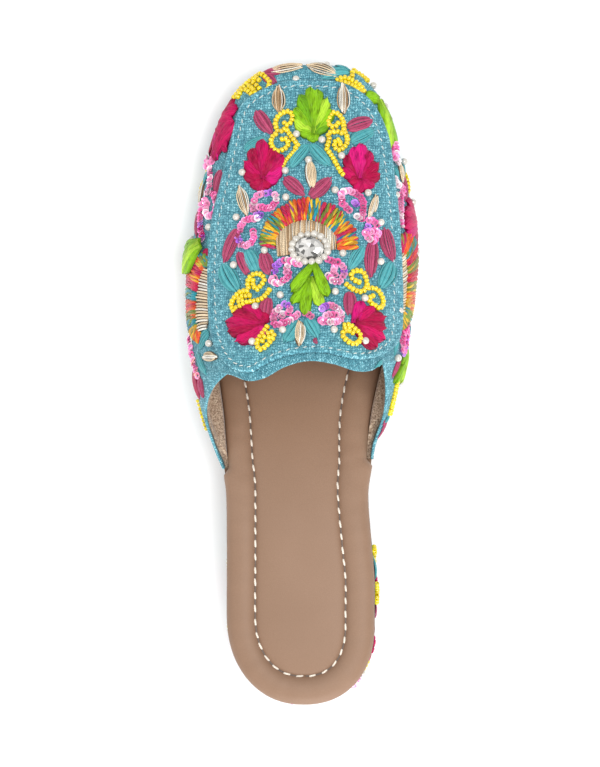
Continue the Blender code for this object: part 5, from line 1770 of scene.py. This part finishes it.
def heel_sprig(at, tall):
    """One of the sprigs that go round the heel: a flower between two leaves, with scrolls above."""

    def places(*rows):
        return [(at + along, SPRIG_FOOT + (height - SPRIG_FOOT) * tall) for along, height in rows]

    tips = places((-6, 12.4), (-4.4, 17.4), (0, 20.2), (4.4, 17.4), (6, 12.4))
    return Pattern(
        flowers=[Flower((at, 8), tips, 5.0 * tall**0.5, MAGENTAS)],
        petals=[
            Petal((at - 5.4, 8.2), (at - 11.6, 9.4), 3.8, TURQUOISES),
            Petal((at + 5.4, 8.2), (at + 11.6, 9.4), 3.8, MAUVES),
        ],
        scrolls=[places((-12, 15), (-9.4, 14.6), (-8, 17), (-9.4, 20), (-7, 22), (-4.6, 21))],
        sequins=[(places((7.4, 20.6), (9.6, 18.2), (11.8, 20)), PINKS)] if tall > 0.8 else [],
            pearls=places((-12.6, 19.4), (12.8, 14)) if tall > 0.8 else [],
    )


HEEL_MEDIAL_PATTERN = Pattern(
    flowers=[Flower((62, 6.6), [(57, 8.6), (59, 10.8), (62, 11.8), (65, 10.8), (67, 8.6)], 3.6, MAGENTAS)],
    petals=[
        Petal((55, 15.6), (49.6, 22.4), 5.0, MAUVES), Petal((64.6, 20.6), (74, 22.2), 4.6, TURQUOISES),
        Petal((65, 16), (72, 14), 4.0, TURQUOISES),
    ],
    scrolls=[
        [(55.6, 21), (58, 22.8), (60.4, 21.6), (63, 22.8)], [(56, 18.6), (58.6, 19.4)],
        [(75, 19.4), (76.4, 22), (77.6, 20.4)], [(71, 9), (73.6, 7.8), (75.6, 10), (73.6, 12)],
    ],
    pearls=[(60, 18.8)],
)


def sew_pattern(kit, ground, pattern):
    """Sews everything in a pattern, kind by kind."""
    for row in pattern.petals:
        petal(kit.silk, ground, row.base, row.tip, row.width, row.tints, bend=draw.uniform(-0.5, 0.5))
    for row in pattern.flowers:
        ribbon_flower(kit.ribbon, ground, row)
    for corners in pattern.scrolls:
        bead_chain(kit.beads, ground, corners, SEED_YELLOW)
    for corners, tints in pattern.sequins:
        sequin_chain(kit.sequins, ground, corners, tints)
    for row in pattern.leaves:
        zari_leaf(kit.zari, ground, row.base, row.tip, row.width, row.wires, row.outline)
    pearls(kit.pearls, ground, pattern.pearls)


def embroider_plug():
    """The plug's field, its sunburst and rosette, and the stitches in its channel."""
    kit = Kit("plug")
    sew_pattern(kit, ON_PLUG, PLUG_PATTERN)
    for corners in PLUG_FINE_SCROLLS:
        bead_chain(kit.beads, ON_PLUG, corners, SEED_YELLOW, size=0.75)
    sunburst(
        kit, ON_PLUG, BLADES,
        Arc((-1.9, -0.4), (19.2, 18.6), 177, -2), Arc((-2.7, -1.6), (12.0, 11.2), 180, 0),
        Comb(foot=(-3.2, -0.4), count=46, thick=0.21, golds=GOLDS, clear=(6.0, 5.0)), ragged=0.065,
    )
    rosette(kit, ON_PLUG, (-1.3, -1.6), (6.9, 5.6))
    kit.finish()
    thread = Sewing()
    loop, inward = plug_loop(600)
    running_stitches(
        thread, Ground(plan(STITCH_HEIGHT)), loop + inward * STITCH_IN, FLECK_WHITE,
        pitch=3.3, length=1.9, rise=0.35, radius=0.22, dip=0.7, slant=0.3,
    )
    finish_piece(thread.piece("plug_stitches", THREAD), "stitch_thread")


def embroider_vamp():
    """The toe's front, then either side, each side with its own sunburst."""
    toe = Kit("toe")
    sew_pattern(toe, ON_WALL, TOE_PATTERN)
    toe.finish()
    sides = (
        ("lateral", LATERAL_PATTERN, LATERAL_BLADES, Arc((-116.2, 36.0), (18.8, -26.0), 3, 177),
         Arc((-115.8, 36.6), (14.2, -6.0), 3, 177), Comb(foot=(4.0, 8.4), lean=-3.0)),
        ("medial", MEDIAL_PATTERN, MEDIAL_BLADES, Arc((105.0, 31.4), (20.2, -22.0), 3, 177),
         Arc((105.0, 31.8), (13.0, -5.6), 3, 177), Comb(foot=(1.0, 4.0))),
    )
    for name, pattern, blades, outer, inner, comb in sides:
        kit = Kit(name)
        sew_pattern(kit, ON_WALL, pattern)
        sunburst(kit, ON_WALL, blades, outer, inner, comb)
        kit.finish()


def embroider_heel():
    """The sprigs round the heel block, and what is in front of them on the medial side."""
    kit = Kit("heel")
    for at, tall in HEEL_SPRIGS:
        sew_pattern(kit, ON_HEEL, heel_sprig(at, tall))
    sew_pattern(kit, ON_HEEL, HEEL_MEDIAL_PATTERN)
    kit.finish()


# ---------------------------------------------------------------- camera, light and floor

# In metres, apart from the lens: half the floor's width, the camera's place, and the height it aims at
FLOOR_REACH, CAMERA_AT, AIM_HEIGHT = 3.0, (0.0587, 0.0007, 1.1), 0.03
FOCAL_LENGTH, SENSOR = 126.4, 36.0
SKY = 0.82
# Name, watts, width of the disc, where it is, what it points at
LIGHTS = [
    ("key", 10.5, 0.7, (0.42, -0.1, 1.3), (0.0, 0.0, 0.02)),
    ("fill", 4.0, 1.2, (-0.7, 0.3, 1.2), (0.0, 0.0, 0.02)),
    ("low", 8.0, 0.7, (0.12, -1.05, 0.36), (0.0, 0.05, 0.03)),
]


def make_stage():
    """The pale floor."""
    floor = bpy.data.meshes.new("floor")
    corners = [(x * FLOOR_REACH, y * FLOOR_REACH, 0) for x, y in ((-1, -1), (1, -1), (1, 1), (-1, 1))]
    floor.from_pydata(corners, [], [(0, 1, 2, 3)])
    pale = Recipe("studio_floor", roughness=0.9, specular_ior_level=0.1)
    haze = pale.noise(pale.place(), 2.0, 2.0)
    pale.set(base_color=pale.ramp(haze, (0.3, 0.96), (0.7, 0.98)))
    floor.materials.append(pale.material)
    made = placed("floor", floor)


def make_camera():
    """Straight overhead but for the small lean that comes from standing between the shoes of a pair."""
    data = bpy.data.cameras.new("camera")
    data.lens, data.sensor_width = FOCAL_LENGTH, SENSOR
    data.clip_start, data.clip_end = 0.05, 20.0
    made, where = placed("camera", data), Vector(CAMERA_AT)
    low, high = CAD_BOX
    aim = Vector(((low[0] + high[0]) / 2, (low[1] + high[1]) / 2, AIM_HEIGHT))
    back = (where - aim).normalized()
    right = Vector((0, 1, 0)).cross(back).normalized()
    up = back.cross(right)
    made.location = where
    made.rotation_euler = Matrix((right, up, back)).transposed().to_euler()
    bpy.context.scene.camera = made


def make_light():
    """An even white sky, and soft lamps."""
    world = bpy.data.worlds.new("studio")
    bpy.context.scene.world = world
    world.use_nodes = True
    sky = world.node_tree.nodes["Background"].inputs
    sky["Color"].default_value, sky["Strength"].default_value = (1.0, 1.0, 1.0, 1), SKY
    for name, energy, size, where, target in LIGHTS:
        lamp = bpy.data.lights.new(name, "AREA")
        lamp.energy, lamp.shape, lamp.size = energy, "DISK", size
        made = placed(name, lamp)
        made.location = where
        made.rotation_euler = (Vector(target) - Vector(where)).to_track_quat("-Z", "Y").to_euler()


def main():
    bpy.context.scene.view_settings.view_transform = "Standard"
    make_stage()
    make_light()
    make_camera()
    for name, material in (("outsole", SOLE), ("heel_lift", RUBBER)):
        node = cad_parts[name]
        node.data.materials.clear()
        node.data.materials.append(material)
    make_vamp()
    make_plug()
    make_footbed()
    make_heel_cover()
    embroider_plug()
    embroider_vamp()
    embroider_heel()


main()
